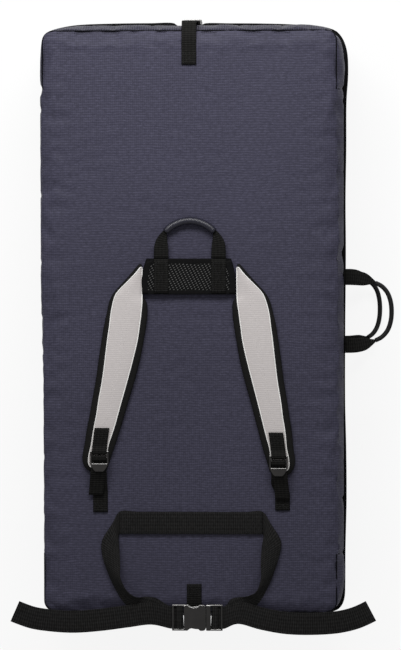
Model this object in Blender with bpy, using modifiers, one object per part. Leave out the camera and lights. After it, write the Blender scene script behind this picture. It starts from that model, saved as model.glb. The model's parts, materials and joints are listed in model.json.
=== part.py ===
# Bouldering crash pad, folded shut and lying on its front panel with the carry face up.
# Two foam panels hinge along their left sides. The carry face holds the shoulder straps,
# the waist belt and a grab handle, each end has a closure strap, and each panel has a
# suitcase handle on the right. Metres, +Z up, +Y towards the top of the pad. The origin is
# on the floor under the middle of the carry face.
import math

import bmesh
import bpy
from mathutils import Matrix, Vector

for old in list(bpy.data.objects):
    bpy.data.objects.remove(old, do_unlink=True)

# Fits
fit_gap = 0.0003
overrun = 0.004

# Panels
face_width = 0.498
face_length = 0.988
panel_thickness = 0.100
side_bulge = 0.012
hinge_bulge = 0.004
end_bulge = 0.012
seam_drop = 0.006
edge_band = 0.030
cover_thickness = 0.0012
foam_clearance = 0.0004
firm_foam_thickness = 0.025
hinge_reach = 0.007
binding_width = 0.0123
binding_thickness = 0.002
binding_clearance = 0.0012
binding_corner = 0.0162
binding_start = 0.020
tape_thickness = 0.0008
tape_clearance = 0.0006
zip_length = 0.450
zip_height = 0.006
zip_thickness = 0.0011
slider_length = 0.012
slider_height = 0.0085
slider_thickness = 0.0014

# Webbing
webbing_thickness = 0.0016
belt_width = 0.038
strap_webbing_width = 0.025
handle_webbing_width = 0.025
layer_step = webbing_thickness + fit_gap

# Pictured places on the carry face, in pixels of the photograph
photo_scale = 0.0017
face_centre_px = (189.7, 321.6)

# Yoke and grab handle
yoke_thickness = 0.008
yoke_px = (142.0, 235.8, 258.0, 293.8)
yoke_roll = 0.004
yoke_band = 0.012
tab_inset = 0.002
grip_radius = 0.0065
grip_wall = 0.0018
grip_webbing_width = 0.0072
handle_middle_px = 190.3
# Left half of the handle's line: pixel place, then its width as a share of the webbing's
handle_line_shares = (
    (161.7, 258.0, 1.0),
    (161.6, 250.5, 0.98),
    (161.9, 243.5, 0.90),
    (163.2, 237.0, 0.62),
    (165.9, 231.2, 0.28),
    (170.9, 226.6, 0.28),
    (177.0, 223.2, 0.28),
    (183.5, 221.0, 0.28),
    (190.3, 220.3, 0.28),
)
grip_first_point = 4

# Side handles
side_handle_spread = 0.116
side_handle_centre_y = 0.016
side_handle_reach = 0.085
side_handle_height = 0.050
side_root_reach = 0.0009
side_root_clearance = 0.0004
side_grip_radius = 0.0048
side_grip_wall = 0.0014
lower_handle_droop = math.radians(32.0)
# Upper half of a side handle's line: reach share, spread share, width share
side_handle_shares = (
    (0.000, 1.00, 1.000),
    (0.120, 1.00, 1.000),
    (0.270, 0.99, 0.960),
    (0.400, 0.95, 0.620),
    (0.530, 0.87, 0.184),
    (0.690, 0.75, 0.184),
    (0.830, 0.56, 0.184),
    (0.920, 0.30, 0.184),
    (0.945, 0.00, 0.184),
)
side_grip_first_point = 4

# Shoulder straps
strap_thickness = 0.011
strap_edge_thickness = 0.0065
strap_face_thickness = 0.0008
right_strap_longer_px = 4.0
right_strap_lean_px = 1.5
strap_stretch_from_px = 300.0
strap_bottom_px = 472.0
# Left strap, row by row down the photograph: row, outer edge, inner edge
strap_rows_px = (
    (264.0, 138.6, 141.6),
    (272.0, 130.0, 141.6),
    (281.0, 120.8, 141.6),
    (289.0, 113.4, 141.6),
    (294.6, 109.2, 141.7),
    (302.0, 106.2, 146.2),
    (312.0, 105.0, 147.4),
    (325.0, 103.6, 146.4),
    (340.0, 102.0, 143.6),
    (360.0, 99.6, 138.9),
    (380.0, 96.9, 133.2),
    (400.0, 93.6, 127.3),
    (415.0, 91.0, 122.8),
    (430.0, 88.2, 118.4),
    (445.0, 85.2, 114.8),
    (457.0, 83.2, 113.0),
    (464.0, 84.2, 111.4),
    (469.0, 87.2, 108.6),
    (472.0, 91.5, 104.6),
)
# Across a strap: the places of its five upper points, from the outer edge to the inner
strap_across_shares = (-1.0, -0.80, -0.05, 0.68, 1.0)
strap_face_first_row = 1
strap_face_last_row = 17

# Ladder locks and the webbing through them
frame_thickness = 0.003
frame_rail = 0.0026
frame_side_gap = 0.0005
end_bar = 0.003
outer_slot = 0.007
lock_bar = 0.004
inner_slot = 0.0063
lip_length = 0.0136
loop_bar = 0.0032
bar_rounding = 0.0008
lock_top_px = 450.5
loop_top_px = 427.0
anchor_low_px = 511.9
tail_end_px = 494.4
right_lock_drop_px = 4.3
left_lock_centre_px = 99.6
right_lock_centre_px = 278.6
left_anchor_centre_px = 99.95
right_anchor_centre_px = 282.3
loop_clearance = 0.0006

# Waist belt, in pixels: its sewn band, then rows of outer edge, inner edge and their lifts
band_px = (119.7, 262.1, 522.6)
belt_tuck_px = 16.0
wing_lift = 0.010
left_wing_px = (
    (119.0, 511.5, 119.0, 533.7, 0.0, 0.0),
    (112.0, 523.0, 118.8, 543.5, 0.15, 0.7),
    (101.4, 540.5, 119.6, 554.0, 0.25, 1.1),
    (101.5, 554.5, 120.2, 565.0, 0.3, 1.5),
    (105.4, 567.5, 120.4, 576.0, 0.35, 2.0),
    (112.8, 585.0, 126.9, 589.5, 0.4, 2.3),
    (123.0, 602.5, 137.0, 596.5, 0.45, 1.6),
    (134.0, 611.5, 144.0, 596.5, 0.48, 0.54),
    (148.0, 617.5, 155.0, 597.5, 0.51, 0.53),
)
right_wing_px = (
    (262.8, 511.5, 262.8, 533.7, 0.0, 0.0),
    (270.5, 523.0, 262.0, 543.5, 0.15, 0.7),
    (280.9, 540.5, 261.0, 554.0, 0.25, 1.1),
    (279.4, 554.0, 260.6, 565.5, 0.3, 1.5),
    (275.4, 567.0, 260.9, 577.0, 0.35, 2.0),
    (268.0, 586.0, 256.0, 590.5, 0.4, 2.4),
    (259.0, 602.0, 246.0, 595.5, 0.45, 1.3),
    (249.0, 611.5, 240.0, 596.5, 0.48, 0.52),
    (237.0, 618.0, 231.0, 598.5, 0.51, 0.53),
)
# Tails, from the buckle outwards: place of the middle of the webbing and its rise
left_tail_px = (
    (150.0, 613.4, 0.03),
    (126.3, 616.2, 0.12),
    (98.2, 620.0, 0.05),
    (72.0, 622.0, -0.15),
    (49.0, 620.8, -0.30),
    (32.0, 618.2, -0.25),
    (19.0, 613.6, -0.05),
    (14.0, 611.4, 0.10),
)
right_tail_px = (
    (240.0, 612.6, 0.03),
    (262.0, 618.0, 0.12),
    (286.0, 622.3, 0.0),
    (313.0, 623.2, -0.20),
    (338.0, 621.4, -0.32),
    (354.0, 617.5, -0.2),
    (364.0, 613.2, -0.05),
    (370.5, 609.8, 0.10),
)
tail_rise = 0.012

# Side-release buckles: the waist buckle's sizes. The closures' are drawn in to their webbing.
buckle_centre_px = (194.7, 617.2)
buckle_height = 0.0088
socket_length = 0.0374
buckle_width = 0.0440
buckle_thickness = 0.011
buckle_plate = 0.0025
buckle_rounding = 0.0011
buckle_corner = 0.005
socket_back_wall = 0.0047
mouth_depth = 0.0107
mouth_clearance = 0.0009
waist_depth = 0.0046
arm_span = 0.0312
arm_thickness = 0.0050
arm_bridge = 0.0032
barb_span = 0.0392
tongue_width = 0.0130
tongue_length = 0.0302
plug_block = 0.0078
pocket_wall = 0.0028
# One spring arm in plan, from the mouth inwards: place along it, place across the half span
arm_outer_shares = (
    (1.00, 0.96),
    (0.66, 1.00),
    (0.575, 1.00),
)
barb_shares = (
    (0.550, 1.00),
    (0.42, 1.00),
    (0.24, 0.95),
    (0.08, 0.80),
)
arm_inner_shares = (
    (0.02, 0.70),
    (0.10, 0.62),
    (0.55, 0.62),
    (0.90, 0.58),
)

# Closures over the two ends
closure_width = 0.025
closure_stand = 0.0003
closure_buckle_z = 0.047
top_closure_px = (189.4, 65.0)
bottom_closure_px = (193.75, 584.0)
closure_tail_length = 0.045
closure_edge_lift = 0.0015

# Colours
slate = (0.050, 0.050, 0.072)
black_nylon = (0.010, 0.010, 0.010)
black_webbing = (0.008, 0.008, 0.008)
black_mould = (0.022, 0.021, 0.019)
grip_grey = (0.048, 0.046, 0.058)
strap_grey = (0.500, 0.470, 0.450)
foam_grey = (0.200, 0.200, 0.210)
foam_blue = (0.050, 0.120, 0.300)

# Places worked out from the sizes
half_width = face_width / 2
half_length = face_length / 2
middle_z = panel_thickness
face_z = panel_thickness * 2
hinge_x = -half_width - hinge_reach
# What a smoothed cage keeps of the distance its middle row stands out
kept_bulge_share = 2 / 3

parts = bpy.data.collections.new("bouldering_crash_pad")
cutters = bpy.data.collections.new("cutters")
bpy.context.scene.collection.children.link(parts)
bpy.context.scene.collection.children.link(cutters)


def at(px, py):
    """A place on the carry face, in metres, from its place in the photograph."""
    return (
        (px - face_centre_px[0]) * photo_scale,
        (face_centre_px[1] - py) * photo_scale,
    )


def paint(ob, colour, roughness=0.6, metallic=0.0):
    """Gives a piece its own material."""
    mat = bpy.data.materials.new(ob.name + "_material")
    mat.use_nodes = True
    shader = mat.node_tree.nodes["Principled BSDF"]
    shader.inputs["Base Color"].default_value = (*colour, 1.0)
    shader.inputs["Roughness"].default_value = roughness
    shader.inputs["Metallic"].default_value = metallic
    ob.data.materials.clear()
    ob.data.materials.append(mat)
    return ob


def piece(name, data):
    ob = bpy.data.objects.new(name, data)
    parts.objects.link(ob)
    return ob


def guide(ob):
    """Moves a helper shape out of the model."""
    for collection in list(ob.users_collection):
        collection.objects.unlink(ob)
    cutters.objects.link(ob)
    ob.hide_render = True
    ob.display_type = "WIRE"
    return ob


def mesh_of(bm, name):
    mesh = bpy.data.meshes.new(name)
    bmesh.ops.recalc_face_normals(bm, faces=bm.faces[:])
    bm.to_mesh(mesh)
    bm.free()
    return mesh


def baked(ob, name):
    """A plain mesh piece from an object's finished shape, its loose caps welded."""
    bpy.context.view_layer.update()
    seen = ob.evaluated_get(bpy.context.evaluated_depsgraph_get())
    bm = bmesh.new()
    bm.from_mesh(bpy.data.meshes.new_from_object(seen))
    bmesh.ops.remove_doubles(bm, verts=bm.verts[:], dist=fit_gap / 30)
    out = piece(name, mesh_of(bm, name))
    out.matrix_world = ob.matrix_world.copy()
    bpy.data.objects.remove(ob, do_unlink=True)
    return out


def block(name, size, centre):
    """A box of a size about a centre."""
    bm = bmesh.new()
    bmesh.ops.create_cube(bm, size=1)
    bmesh.ops.scale(bm, vec=Vector(size), verts=bm.verts[:])
    bmesh.ops.translate(bm, vec=Vector(centre), verts=bm.verts[:])
    return piece(name, mesh_of(bm, name))


def flat(name, outlines, thickness, height=0.0):
    """A plate from flat outlines, the first its edge and the rest its holes."""
    curve = bpy.data.curves.new(name, "CURVE")
    curve.dimensions = "2D"
    curve.fill_mode = "BOTH"
    curve.extrude = thickness / 2
    for outline in outlines:
        spline = curve.splines.new("POLY")
        spline.points.add(len(outline) - 1)
        for point, (x, y) in zip(spline.points, outline):
            point.co = (x, y, 0, 1)
        spline.use_cyclic_u = True
    ob = piece(name + "_outline", curve)
    ob.location.z = height
    return baked(ob, name)


def modify(ob, kind, other, parent=None):
    """Cuts another shape from a piece, or joins it on."""
    mod = ob.modifiers.new(kind.lower(), "BOOLEAN")
    mod.operation = kind
    mod.solver = "EXACT"
    mod.object = guide(other)
    other.parent = parent
    return ob


def rounded(ob, width, segments=2):
    mod = ob.modifiers.new("edges", "BEVEL")
    mod.width = width
    mod.segments = segments
    mod.limit_method = "ANGLE"
    return ob


def thicken(ob, thickness, side=0.0):
    mod = ob.modifiers.new("thickness", "SOLIDIFY")
    mod.thickness = thickness
    mod.offset = side
    mod.use_even_offset = True
    return ob


def strip(name, rail_a, rail_b, thickness):
    """Webbing: an open strip bridged between its two edges, then thickened."""
    bm = bmesh.new()
    edges = []
    for rail in (rail_a, rail_b):
        verts = [bm.verts.new(point) for point in rail]
        edges += [bm.edges.new(pair) for pair in zip(verts, verts[1:])]
    bmesh.ops.bridge_loops(bm, edges=edges)
    return thicken(piece(name, mesh_of(bm, name)), thickness)


def line_rails(line, widths, flat_axis):
    """The two edges of webbing along a line, its width square to the line and to an axis."""
    sides = ([], [])
    for n, point in enumerate(line):
        ahead = Vector(line[min(n + 1, len(line) - 1)])
        behind = Vector(line[max(n - 1, 0)])
        across = (ahead - behind).cross(Vector(flat_axis)).normalized() * widths[n] / 2
        sides[0].append(Vector(point) + across)
        sides[1].append(Vector(point) - across)
    return sides


def sleeve(name, line, radius, wall):
    """A padded tube round a handle's webbing, open at both ends."""
    curve = bpy.data.curves.new(name, "CURVE")
    curve.dimensions = "3D"
    curve.bevel_depth = radius
    curve.bevel_resolution = 3
    spline = curve.splines.new("POLY")
    spline.points.add(len(line) - 1)
    for point, place in zip(spline.points, line):
        point.co = (*place, 1)
    ob = baked(piece(name + "_line", curve), name)
    thicken(ob, wall, -1.0)
    for face in ob.data.polygons:
        face.use_smooth = True
    return ob


# The panels: an outer cover over two foams


def panel_cage(inset, upper):
    """A panel's block, drawn in by an inset: flat on its landing side, its other face
    rolled down to the seam and its walls bulging. It stands upper or lower."""
    wide = half_width - inset
    long = half_length - inset
    high = panel_thickness / 2 - fit_gap / 4 - inset
    bm = bmesh.new()
    bmesh.ops.create_cube(bm, size=2)
    bmesh.ops.scale(bm, vec=(wide, long, high), verts=bm.verts[:])
    third = (wide - edge_band) / 3
    cuts = [(0, s * (wide - edge_band)) for s in (-1, 1)]
    cuts += [(0, s * third) for s in (-1, 1)]
    cuts += [(1, s * (long - edge_band) * n / 3) for s in (-1, 1) for n in (1, 2, 3)]
    cuts += [(1, 0.0), (2, 0.0)]
    for axis, place in cuts:
        normal = Vector((0, 0, 0))
        normal[axis] = 1
        bmesh.ops.bisect_plane(
            bm,
            geom=bm.verts[:] + bm.edges[:] + bm.faces[:],
            plane_co=normal * place,
            plane_no=normal,
        )
    near = edge_band / 10
    crease = bm.edges.layers.float.new("crease_edge")
    for edge in bm.edges:
        ends = [v.co for v in edge.verts]
        level = all(abs(abs(c.z) - high) < near for c in ends)
        rim_x = all(abs(abs(c.x) - wide) < near for c in ends)
        rim_y = all(abs(abs(c.y) - long) < near for c in ends)
        edge[crease] = 1.0 if level and (rim_x or rim_y) else 0.0
    for vert in bm.verts:
        x, y, z = vert.co
        on_x = abs(abs(x) - wide) < near
        on_y = abs(abs(y) - long) < near
        if abs(z) < near:
            side = hinge_bulge if x < 0 else side_bulge
            if on_x:
                vert.co.x += math.copysign(side * bulge_share(y, long) / kept_bulge_share, x)
            if on_y:
                vert.co.y += math.copysign(end_bulge * bulge_share(x, wide) / kept_bulge_share, y)
        elif (z > 0) == upper and (on_x or on_y):
            vert.co.z -= math.copysign(seam_drop, z)
    lift = middle_z + panel_thickness / 2 * (1 if upper else -1)
    lift += fit_gap / 4 * (1 if upper else -1)
    bmesh.ops.translate(bm, vec=(0, 0, lift), verts=bm.verts[:])
    return bm


def bulge_share(place, reach):
    """How far a wall stands out: fully along it, less in the edge band, little at a corner."""
    inside = reach - abs(place)
    if inside < edge_band / 2:
        return 0.12
    return 0.80 if inside < edge_band * 1.5 else 1.0


def smooth_block(name, bm):
    ob = piece(name, mesh_of(bm, name))
    mod = ob.modifiers.new("form", "SUBSURF")
    mod.levels = 1
    mod.render_levels = 1
    for polygon in ob.data.polygons:
        polygon.use_smooth = True
    return ob


def joint_at(name, place, moved):
    """An empty on a joint's axis, and the parent of what turns about it."""
    empty = bpy.data.objects.new(name, None)
    parts.objects.link(empty)
    empty.matrix_world = Matrix.Translation(place)
    for ob in moved:
        ob.parent = empty
        ob.matrix_parent_inverse = Matrix.Translation(place).inverted()
    return empty


def foam(name, upper, from_landing, to_landing, colour):
    """One layer of foam, between two distances from the landing side."""
    ob = baked(smooth_block(name + "_form", panel_cage(cover_thickness + foam_clearance, upper)), name)
    way = 1 if upper else -1
    bm = bmesh.new()
    bm.from_mesh(ob.data)
    for distance, keep_far in ((from_landing, True), (to_landing, False)):
        if distance is None:
            continue
        made = bmesh.ops.bisect_plane(
            bm,
            geom=bm.verts[:] + bm.edges[:] + bm.faces[:],
            plane_co=(0, 0, middle_z + way * distance),
            plane_no=(0, 0, way),
            clear_inner=keep_far,
            clear_outer=not keep_far,
        )
        rim = [e for e in made["geom_cut"] if isinstance(e, bmesh.types.BMEdge)]
        bmesh.ops.contextual_create(bm, geom=rim)
    bmesh.ops.recalc_face_normals(bm, faces=bm.faces[:])
    bm.to_mesh(ob.data)
    bm.free()
    return paint(ob, colour, 0.9)


def make_panel(prefix, upper):
    way = 1 if upper else -1
    wall_x = -half_width - hinge_bulge
    wall_z = middle_z + way * panel_thickness / 2
    cover = smooth_block(prefix + "_cover", panel_cage(0.0, upper))
    thicken(cover, cover_thickness, -1.0)
    slot = block(
        prefix + "_zip_slot",
        (cover_thickness * 4, zip_length + fit_gap * 2, zip_height + fit_gap * 2),
        (wall_x, 0, wall_z),
    )
    modify(cover, "DIFFERENCE", slot)
    paint(cover, slate, 0.55)
    firm_end = firm_foam_thickness
    foam(prefix + "_foam_firm", upper, None, firm_end - fit_gap / 2, foam_blue)
    foam(prefix + "_foam_soft", upper, firm_end + fit_gap / 2, None, foam_grey)
    tape = block(
        prefix + "_zip",
        (zip_thickness, zip_length, zip_height),
        (wall_x + zip_thickness / 2, 0, wall_z),
    )
    paint(tape, black_nylon, 0.5)
    slider = block(
        prefix + "_zip_slider",
        (slider_thickness, slider_length, slider_height),
        (
            wall_x - slider_thickness / 2 - fit_gap,
            zip_length / 2 - slider_length,
            wall_z,
        ),
    )
    rounded(slider, slider_thickness / 4)
    paint(slider, black_mould, 0.3, 0.6)
    make_binding(prefix, way)


def make_binding(prefix, way):
    """Bound seam that stands out round the landing side, apart from the hinge's side."""
    inner = []
    outer = []
    for clear, side in ((binding_clearance, inner), (binding_clearance + binding_width, outer)):
        radius = binding_corner - binding_clearance + clear
        corner_x = half_width + binding_clearance - binding_corner
        corner_y = half_length + binding_clearance - binding_corner
        side.append((-half_width + binding_start, half_length + clear))
        for sign in (1, -1):
            for n in range(6):
                turn = math.pi / 2 * (n / 5 if sign < 0 else 1 - n / 5)
                side.append(
                    (
                        corner_x + radius * math.cos(turn),
                        sign * (corner_y + radius * math.sin(turn)),
                    )
                )
        side.append((-half_width + binding_start, -half_length - clear))
    height = middle_z + way * (fit_gap / 2 + binding_thickness / 2)
    ob = flat(prefix + "_edge_binding", [inner + outer[::-1]], binding_thickness, height)
    return paint(ob, black_nylon, 0.7)


def make_hinge_tape():
    """The fabric that joins the landing sides at the hinge, folded like a V."""
    near = -half_width - tape_clearance
    far = hinge_x - tape_thickness / 2
    gap = fit_gap
    deep = gap + tape_thickness
    profile = [
        (near, -deep),
        (near, -gap),
        (far + tape_thickness, -gap / 2),
        (far + tape_thickness, gap / 2),
        (near, gap),
        (near, deep),
        (far, deep * 0.7),
        (far, -deep * 0.7),
    ]
    ob = flat("fold_hinge_tape", [profile], face_length - binding_start * 2)
    ob.matrix_world = Matrix.Translation((0, 0, middle_z)) @ Matrix.Rotation(math.pi / 2, 4, "X")
    return paint(ob, black_nylon, 0.7)


# The yoke and the grab handle


def make_yoke():
    left, right, top, bottom = yoke_px
    x0, y0 = at(left, bottom)
    x1, y1 = at(right, top)
    wide, long = (x1 - x0) / 2, (y1 - y0) / 2
    base = face_z + fit_gap
    bm = bmesh.new()
    bmesh.ops.create_cube(bm, size=2)
    bmesh.ops.scale(bm, vec=(wide, long, yoke_thickness / 2), verts=bm.verts[:])
    cuts = [(0, s * (wide - yoke_band)) for s in (-1, 1)]
    cuts += [(1, s * (long - yoke_band)) for s in (-1, 1)]
    for axis, place in cuts:
        normal = Vector((0, 0, 0))
        normal[axis] = 1
        bmesh.ops.bisect_plane(
            bm,
            geom=bm.verts[:] + bm.edges[:] + bm.faces[:],
            plane_co=normal * place,
            plane_no=normal,
        )
    crease = bm.edges.layers.float.new("crease_edge")
    for edge in bm.edges:
        low = all(v.co.z < 0 for v in edge.verts)
        edge[crease] = 1.0 if low else 0.0
    for vert in bm.verts:
        rim = abs(abs(vert.co.x) - wide) < fit_gap or abs(abs(vert.co.y) - long) < fit_gap
        if vert.co.z > 0 and rim:
            vert.co.z -= yoke_roll
    bmesh.ops.translate(
        bm,
        vec=((x0 + x1) / 2, (y0 + y1) / 2, base + yoke_thickness / 2),
        verts=bm.verts[:],
    )
    paint(smooth_block("yoke_pad", bm), black_nylon, 0.8)
    top_z = base + yoke_thickness + fit_gap
    for side in ("left", "right"):
        px = handle_line_shares[0][0]
        if side == "right":
            px = 2 * handle_middle_px - px
        x, _ = at(px, top)
        tab = block(
            "handle_tab_" + side,
            (handle_webbing_width, y1 - y0 - fit_gap - tab_inset, webbing_thickness),
            (x, (y0 + y1 - fit_gap + tab_inset) / 2 - fit_gap, top_z + webbing_thickness / 2),
        )
        paint(tab, black_webbing, 0.8)
    return y1, top_z


def make_grab_handle(root_y, top_z):
    """The handle at the top of the yoke: webbing that narrows into a padded grip."""
    axis_z = top_z + webbing_thickness / 2
    grip_z = face_z + fit_gap + grip_radius
    half = []
    for px, py, share in handle_line_shares:
        half.append((px, py, share))
    other = [(2 * handle_middle_px - px, py, share) for px, py, share in half[-2::-1]]
    line = []
    widths = []
    first_y = at(0, half[0][1])[1]
    grip_y = at(0, half[grip_first_point][1])[1]
    for px, py, share in half + other:
        x, y = at(px, py)
        fall = min(1.0, (y - first_y) / (grip_y - first_y))
        line.append(Vector((x, y, axis_z + (grip_z - axis_z) * fall)))
        widths.append(max(handle_webbing_width * share, grip_webbing_width))
    lift = Vector((0, root_y + fit_gap - first_y, 0))
    line = [p + lift for p in line]
    rails = line_rails(line, widths, (0, 0, 1))
    webbing = strip("grab_handle_webbing", rails[0], rails[1], webbing_thickness)
    paint(webbing, black_webbing, 0.8)
    last = len(line) - grip_first_point
    grip = sleeve("grab_handle_grip", line[grip_first_point:last], grip_radius, grip_wall)
    paint(grip, grip_grey, 0.7)
    # webbing folds back about its upper side
    fold_z = top_z + webbing_thickness
    joint_at("grab_handle_axis", (0, root_y, fold_z), (webbing, grip))


def make_side_handle(name, root_z, droop):
    """A suitcase handle on the right wall, drawn level and then tilted down at its root."""
    half = [(r, s, w) for r, s, w in side_handle_shares]
    full = half + [(r, -s, w) for r, s, w in half[-2::-1]]
    line = []
    widths = []
    for reach, spread, share in full:
        line.append(Vector((side_handle_reach * reach, side_handle_spread / 2 * spread, 0)))
        widths.append(handle_webbing_width * share)
    # its sewn ends reach past the line that it folds on
    line[0].x = line[-1].x = -side_root_reach
    root_x = half_width + side_bulge + side_root_clearance + side_root_reach
    place = Matrix.Translation((root_x, side_handle_centre_y, root_z))
    place = place @ Matrix.Rotation(droop, 4, "Y")
    rails = line_rails(line, widths, (0, 0, 1))
    ob = strip(name + "_webbing", rails[0], rails[1], webbing_thickness)
    ob.matrix_world = place
    paint(ob, black_webbing, 0.8)
    last = len(line) - side_grip_first_point
    grip = sleeve(name + "_grip", line[side_grip_first_point:last], side_grip_radius, side_grip_wall)
    grip.matrix_world = place
    paint(grip, black_webbing if droop else grip_grey, 0.7)


# The shoulder straps


def strap_place(side, px, py):
    """A strap's place for the left or the right side, which hangs a little longer."""
    if side == "left":
        return at(px, py)
    share = max(0.0, (py - strap_stretch_from_px) / (strap_bottom_px - strap_stretch_from_px))
    mirrored = 2 * face_centre_px[0] - px - right_strap_lean_px * share
    return at(mirrored, py + right_strap_longer_px * share)


def strap_top(row, across):
    """How thick a strap is at a row and a place across it."""
    last = len(strap_rows_px) - 1
    rows_left = min(row, last - row)
    full = (0.62, 0.86, 1.0)[min(rows_left, 2)]
    edge = strap_edge_thickness * full
    return edge + (strap_thickness * full - edge) * (1 - across * across)


def make_strap(side):
    """A tapered pad, lofted from unlike sections, with its face lying on its crown."""
    base = face_z + fit_gap
    bm = bmesh.new()
    loops = []
    rails = []
    for row, (py, outer, inner) in enumerate(strap_rows_px):
        middle, half = (outer + inner) / 2, (inner - outer) / 2
        section = []
        for across in strap_across_shares:
            x, y = strap_place(side, middle + half * across, py)
            section.append(Vector((x, y, base + strap_top(row, across))))
        if strap_face_first_row <= row <= strap_face_last_row:
            rails.append(section[1:-1])
        for across in (1.0, 0.0, -1.0):
            x, y = strap_place(side, middle + half * across, py)
            section.append(Vector((x, y, base)))
        loops.append([bm.verts.new(p) for p in section])
    for near, far in zip(loops, loops[1:]):
        for n in range(len(near)):
            m = (n + 1) % len(near)
            bm.faces.new((near[n], near[m], far[m], far[n]))
    bm.faces.new(loops[0])
    bm.faces.new(loops[-1])
    core = piece("shoulder_strap_" + side, mesh_of(bm, "strap"))
    paint(core, black_nylon, 0.8)
    bm = bmesh.new()
    lift = Vector((0, 0, fit_gap * 1.3 + strap_face_thickness / 2))
    grid = [[bm.verts.new(p + lift) for p in row] for row in rails]
    for near, far in zip(grid, grid[1:]):
        for n in range(len(near) - 1):
            bm.faces.new((near[n], near[n + 1], far[n + 1], far[n]))
    face = piece("strap_face_" + side, mesh_of(bm, "strap_face"))
    thicken(face, strap_face_thickness)
    for polygon in face.data.polygons:
        polygon.use_smooth = True
    paint(face, strap_grey, 0.7)
    top_y = strap_place(side, 0, strap_rows_px[0][0])[1]
    joint_at("strap_axis_" + side, (0, top_y, face_z + yoke_thickness / 2), (core, face))


# Webbing through a frame: the load strand comes in low, turns up round the lock bar and the
# tail goes out over it. Written along the frame from the slot behind the lock bar.


def thread_line():
    """The webbing's line through a frame, as distance from the frame's inner end and height
    above the lock bar's middle."""
    half = webbing_thickness / 2
    bar_low = -frame_thickness / 2
    bar_high = frame_thickness / 2
    load_z = bar_low - fit_gap - half
    over_z = bar_high + fit_gap * 2 + half
    tail_z = load_z + layer_step
    near = inner_slot
    far = inner_slot + lock_bar
    up = near - fit_gap * 3 - half
    turn = webbing_thickness
    return [
        (near + turn * 0.6, load_z),
        (near - turn * 0.45, load_z + turn * 0.1),
        (up - turn * 0.2, load_z + turn * 0.65),
        (up - turn * 0.25, over_z - turn * 0.9),
        (up + turn * 0.1, over_z - turn * 0.25),
        (near + turn * 0.1, over_z),
        (far - turn * 0.4, over_z),
        (far + turn * 0.6, over_z - turn * 0.25),
        (far + turn * 1.2, over_z - turn),
        (far + turn * 1.7, tail_z + turn * 0.5),
        (far + turn * 2.5, tail_z),
        (far + outer_slot, tail_z),
    ], load_z, tail_z


def add_frame(ob, inner_end, sign, inside_half, outside_half, long_end, parent=None):
    """Joins an adjuster frame onto a piece: two rails, the lock bar and the end bar."""
    length = inner_slot + lock_bar + outer_slot + long_end
    low = -frame_thickness / 2 - webbing_thickness - fit_gap
    tall = frame_thickness / 2 + webbing_thickness - low
    for way in (-1, 1):
        rail = block(
            ob.name + "_rail",
            (length + overrun, outside_half - inside_half, tall),
            (
                inner_end + sign * (length - overrun) / 2,
                way * (inside_half + outside_half) / 2,
                low + tall / 2,
            ),
        )
        modify(ob, "UNION", rail, parent)
    middle = inner_end + sign * (inner_slot + lock_bar / 2)
    bar = block(
        ob.name + "_lock_bar",
        (lock_bar, (inside_half + outside_half), frame_thickness),
        (middle, 0, 0),
    )
    rounded(bar, bar_rounding)
    modify(ob, "UNION", bar, parent)
    end_low = tail_top()
    end_high = frame_thickness / 2 + webbing_thickness
    end = block(
        ob.name + "_end_bar",
        (long_end, (inside_half + outside_half), end_high - end_low),
        (inner_end + sign * (length - long_end / 2), 0, (end_high + end_low) / 2),
    )
    modify(ob, "UNION", end, parent)
    return ob


def tail_top():
    """Height of the tail's upper side where it leaves a frame, with its clearance."""
    return thread_line()[2] + webbing_thickness / 2 + fit_gap


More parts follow.
